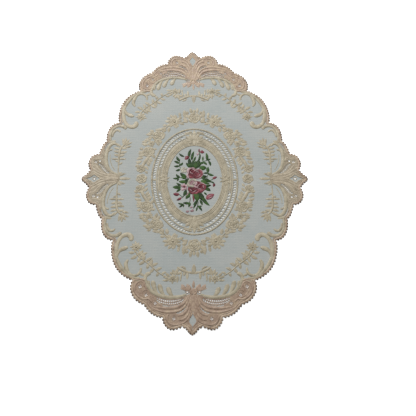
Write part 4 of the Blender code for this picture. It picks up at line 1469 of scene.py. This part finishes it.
# %% Work the leaves
LEAF_HEIGHTS = (0.55, 0.61, 0.67, 0.73)   # in turn, so that leaves that cross don't meet
leaves_hoop = new_hoop()
for width, points in BOUQUET_STEMS:
    cord(leaves_hoop, points, width, height=0.35, field="whole")
for order, (width, root, tip, bend) in enumerate(BOUQUET_LEAVES):
    leaf(leaves_hoop, root, tip, width, LEAF_HEIGHTS[order % len(LEAF_HEIGHTS)], bend, field="whole",
         shade=jitter(0.14))
finish_piece(leaves_hoop, "bouquet_leaves", leaf_thread)

# %% [markdown]
# A bouquet rose has its petals in three threads, over a low bed of filling that hides the cloth
# between them. It is drawn as two or three whorls side by side, each a set of crescents round its
# own middle. Each row of a whorl is one petal: its thread, where it stands as an hour on a clock,
# how far out, how wide, how many hours long, and how high it lies. Buds and single petals are leaf
# shapes.

# %% Roses of the bouquet
ROSE_BEDS = (  # thread, centre, half width, half length, height: low filling under the petals
    ("crimson", (-0.6, 7.8), 9.0, 8.6, 0.3),
    ("crimson", (5.0, -13.0), 8.8, 9.4, 0.3),
    ("crimson", (-3.6, -15.6), 6.0, 5.0, 0.3),
    ("pink", (-3.4, -7.4), 6.4, 6.0, 0.36),
)
WHORLS = (  # middle; and its petals: thread, hour, distance, width, hours long, height
    # the upper rose: its cheek, its chin and its heart
    ((3.2, 7.4), (
        ("crimson", 2.4, 6.2, 3.8, 4.0, 0.9), ("pink", 2.0, 7.9, 1.7, 3.6, 1.0),
        ("crimson", 5.2, 5.4, 4.4, 3.2, 0.9), ("pink", 5.0, 7.6, 1.6, 2.8, 1.0),
        ("pink", 11.6, 5.8, 2.3, 2.4, 1.0), ("crimson", 3.6, 2.6, 3.2, 4.4, 1.1),
        ("pink", 0.8, 3.0, 1.7, 3.6, 1.2), ("pink", 4.4, 4.0, 1.3, 2.8, 1.2),
    )),
    ((-4.4, 4.6), (
        ("crimson", 6.6, 2.8, 3.4, 4.4, 1.0), ("pink", 8.6, 5.4, 2.5, 3.4, 1.0),
        ("pink", 5.6, 4.7, 1.4, 2.0, 1.1),
    )),
    ((-2.8, 11.0), (
        ("pink", 9.6, 6.0, 3.6, 3.4, 0.9), ("pink", 12.0, 5.2, 2.6, 2.6, 1.0),
        ("crimson", 10.0, 3.8, 1.6, 3.4, 1.1), ("pink", 1.0, 3.4, 2.0, 2.8, 1.2),
        ("crimson", 4.0, 2.2, 2.2, 4.8, 1.2), ("pink", 7.4, 3.2, 1.7, 3.6, 1.25),
        ("crimson", 10.6, 1.2, 2.0, 5.0, 1.3),
    )),
    # the pale rose
    ((-2.6, -6.8), (
        ("cream", 8.2, 6.2, 4.8, 2.8, 0.9), ("cream", 10.6, 5.6, 4.6, 3.0, 0.95),
        ("cream", 0.8, 5.4, 3.8, 2.8, 0.95), ("cream", 6.4, 5.0, 4.2, 2.8, 1.0),
        ("pink", 3.4, 5.0, 3.1, 2.6, 1.0), ("crimson", 10.0, 2.5, 1.1, 3.6, 1.2),
        ("cream", 4.0, 2.2, 2.2, 4.4, 1.2), ("pink", 8.6, 1.0, 1.6, 4.4, 1.25),
    )),
    # the lower rose: its fold, its bold middle and its skirt
    ((2.4, -10.4), (
        ("crimson", 1.4, 4.6, 2.4, 3.0, 0.95), ("pink", 11.0, 3.0, 2.6, 3.4, 1.05),
        ("pink", 7.0, 2.8, 2.9, 4.0, 1.1),
    )),
    ((8.4, -13.0), (
        ("crimson", 2.6, 5.6, 3.2, 4.4, 0.95), ("crimson", 6.0, 5.4, 3.4, 3.6, 0.95),
        ("pink", 0.8, 6.2, 2.0, 3.4, 1.05), ("pink", 9.6, 4.4, 1.8, 4.0, 1.05),
        ("crimson", 11.4, 3.6, 1.8, 4.0, 1.1), ("pink", 2.8, 3.5, 1.4, 3.6, 1.15),
        ("crimson", 4.0, 2.0, 2.0, 5.0, 1.2), ("pink", 6.6, 3.4, 1.4, 2.6, 1.2),
        ("crimson", 9.6, 1.4, 1.6, 5.0, 1.3),
    )),
    ((-2.0, -15.4), (
        ("crimson", 8.4, 5.4, 3.6, 3.2, 0.95), ("crimson", 6.2, 6.6, 4.0, 3.0, 0.95),
        ("crimson", 4.6, 8.0, 3.4, 2.0, 0.95), ("pink", 7.6, 3.8, 1.7, 2.4, 1.1),
        ("crimson", 6.8, 2.4, 2.4, 4.4, 1.1), ("pink", 5.0, 4.6, 1.6, 2.4, 1.1),
    )),
)

BUDS = (  # thread, width, root, tip, height: single petals and half-open buds
    # at the far end
    ("crimson", 5.6, (-8.2, 35), (-13.4, 29.8), 0.9),
    ("crimson", 4.4, (-7.6, 32.8), (-12.6, 34.8), 1.0),
    ("pink", 1.6, (-9, 33.6), (-12.6, 31.8), 1.2),
    ("crimson", 2.4, (6.4, 41), (6.6, 47.2), 0.8),
    ("crimson", 5.0, (7.2, 41.8), (13.4, 40.6), 0.9),
    ("crimson", 3.2, (8, 43), (12.2, 42.4), 1.0),
    ("pink", 3.0, (3.8, 36.2), (5.4, 40.6), 0.8),
    # on the right
    ("crimson", 3.8, (23.6, -0.4), (30, 2.8), 0.9),
    ("crimson", 3.6, (25.8, -7), (24.4, -12.6), 0.9),
    # at the near end, to the right and to the left
    ("crimson", 8.0, (15.2, -31.4), (25.8, -23.4), 0.9),
    ("pink", 2.0, (16.4, -28), (24, -24.8), 1.15),
    ("pink", 1.8, (17.4, -31), (24.6, -27.4), 1.15),
    ("crimson", 5.6, (-20, -23.6), (-28.2, -22.8), 0.9),
    ("pink", 1.4, (-21, -22.6), (-26, -22.2), 1.15),
    ("crimson", 3.6, (-17, -28.2), (-23.8, -32.8), 0.9),
    # single petals under the roses
    ("crimson", 2.6, (-2.6, -23), (-1.4, -36), 0.8),
    ("pink", 1.8, (-7.6, -20), (-11.8, -27.6), 0.9),
    # a pink blossom, and a cream one
    ("pink", 4.4, (-14, -12.6), (-18, -9), 0.75),
    ("pink", 4.4, (-13.6, -12), (-13.6, -7), 0.75),
    ("pink", 4.4, (-13, -12.6), (-9.2, -10.6), 0.75),
    ("pink", 4.4, (-13.4, -13.6), (-10.6, -17.4), 0.75),
    ("pink", 4.6, (-14.2, -13.6), (-17.4, -18.4), 0.75),
    ("crimson", 4.0, (-16, -12.8), (-11.4, -12.4), 1.1),
    ("cream", 4.6, (-14.4, 13.4), (-19.4, 15.4), 0.7),
    ("cream", 4.6, (-14.6, 14), (-14.6, 18.6), 0.7),
    ("cream", 4.4, (-14, 13.6), (-9.8, 16), 0.7),
    ("cream", 4.6, (-14.6, 13), (-17.8, 9.4), 0.7),
    ("cream", 4.4, (-14, 12.8), (-11.4, 9), 0.7),
    ("pink", 2.6, (-15.6, 13.4), (-13.2, 13.4), 0.9),
    # the sprig at the foot
    ("pink", 2.8, (-6.6, -43.8), (-1.8, -42.8), 0.6),
    ("pink", 3.6, (-11.4, -50), (-6.4, -48.6), 0.6),
    ("pink", 3.0, (-6, -48.2), (-1.4, -49.2), 0.6),
    ("pink", 2.8, (-3, -45.4), (-2, -50), 0.6),
)
print("bouquet:", sum(len(petals) for _, petals in WHORLS), "petals and", len(BUDS), "buds")

# %% Work the roses and buds
HOUR = math.pi / 6
PETAL_TONES = 0.15         # how far petals differ in tone
PETAL_LENGTH = 1.15        # petals overlap a little more than the chart says, and lie lower
PETAL_HEIGHT = 0.85
THIN = 0.65                # thinner buds than this are the sprig at the foot, in darker tones
THIN_TONE = -0.3
threads = {"cream": (new_hoop(), cream_thread), "pink": (new_hoop(), pink_thread),
           "crimson": (new_hoop(), crimson_thread)}
for thread, centre, across, along, height in ROSE_BEDS:
    bed = ellipse(centre, across, along, LEAF_POINTS)[:-1]
    filling(threads[thread][0], bed, angle=30, height=height, field="whole")
for middle, petals in WHORLS:
    for thread, hour, distance, width, hours, height in petals:
        crescent(threads[thread][0]["whole"], middle, distance, width, hour * HOUR,
                 hours * HOUR * PETAL_LENGTH, height * PETAL_HEIGHT, jitter(PETAL_TONES))
for thread, width, root, tip, height in BUDS:
    tone = jitter(PETAL_TONES) + (THIN_TONE if height < THIN else 0)
    leaf(threads[thread][0], root, tip, width, height, 0.05, vein=0.1, field="whole", shade=tone)
for thread, (hoop, material) in threads.items():
    finish_piece(hoop, f"bouquet_{thread}_petals", material)

# %% [markdown]
# ## Table and light
#
# The table top is pale and glows a little, as a light table does, so the openings and the ground
# beyond the edge stay white. A broad soft light stands beyond the far end, slightly to the left,
# under a dim pale sky. It is low, so each raised cord has a shadow on its near side.

# %% Table
TABLE_SIDE = 6.0
TABLE_DROP = 0.0002        # so that the table's face and the doily's underside don't meet
bpy.ops.mesh.primitive_plane_add(size=TABLE_SIDE, location=(0, 0, -TABLE_DROP))
table = bpy.context.object
table.name = "pale_table"
table_material, table_tree = new_material("matt white laminate")
add_node(table_tree, "Principled BSDF", Base_Color=linear("F6F6F4"), Roughness=0.8,
         Emission_Color=linear("FFFFFF"), Emission_Strength=0.35)
table.data.materials.append(table_material)


# %% Light
def soft_light(name, size, power, place):
    """A square lamp that shines on the middle of the doily."""
    data = bpy.data.lights.new(name, "AREA")
    data.shape = "SQUARE"
    data.size = size
    data.energy = power
    lamp = bpy.data.objects.new(name, data)
    bpy.context.scene.collection.objects.link(lamp)
    lamp.location = place
    lamp.rotation_euler = (-lamp.location).to_track_quat("-Z", "Y").to_euler()
    print(f"{name}: {power} W")


soft_light("window beyond the far end", size=0.65, power=52.0, place=(-0.46, 1.38, 1.04))
soft_light("overhead fill", size=1.6, power=8.0, place=(0.2, -0.2, 1.8))
world = bpy.data.worlds.new("pale room")
bpy.context.scene.world = world
world.use_nodes = True
add_node(world.node_tree, "Background", Color=linear("F2F4F6"), Strength=0.42)
bpy.context.scene.view_settings.view_transform = "Standard"

# %% [markdown]
# ## Camera
#
# The camera looks down at about 60 degrees from one metre, along the length of the mat. A small
# shift of the lens, not a turn, puts the mat where it should stand in the frame, so that its long
# axis stays upright.

# %% Camera
LOOK_DOWN = math.radians(59.59)
DISTANCE = 1.0353
IMAGE_SIDE = 416.0           # pixels
FOCAL_PIXELS = 783.7         # the lens, in those pixels
AIM_PIXEL = (192.3, 178.65)   # where the middle of the mat falls in the frame
camera_data = bpy.data.cameras.new("camera")
camera = bpy.data.objects.new("camera", camera_data)
bpy.context.scene.collection.objects.link(camera)
camera.location = (-LAY_BOW * MM, -DISTANCE * math.cos(LOOK_DOWN),
                   DISTANCE * math.sin(LOOK_DOWN) + CLOTH_TOP * MM)
camera.rotation_euler = (math.pi / 2 - LOOK_DOWN, 0, 0)
camera_data.sensor_width = 36.0   # mm
camera_data.lens = FOCAL_PIXELS / IMAGE_SIDE * camera_data.sensor_width
camera_data.shift_x = (IMAGE_SIDE / 2 - AIM_PIXEL[0]) / IMAGE_SIDE
camera_data.shift_y = -(IMAGE_SIDE / 2 - AIM_PIXEL[1]) / IMAGE_SIDE
bpy.context.scene.camera = camera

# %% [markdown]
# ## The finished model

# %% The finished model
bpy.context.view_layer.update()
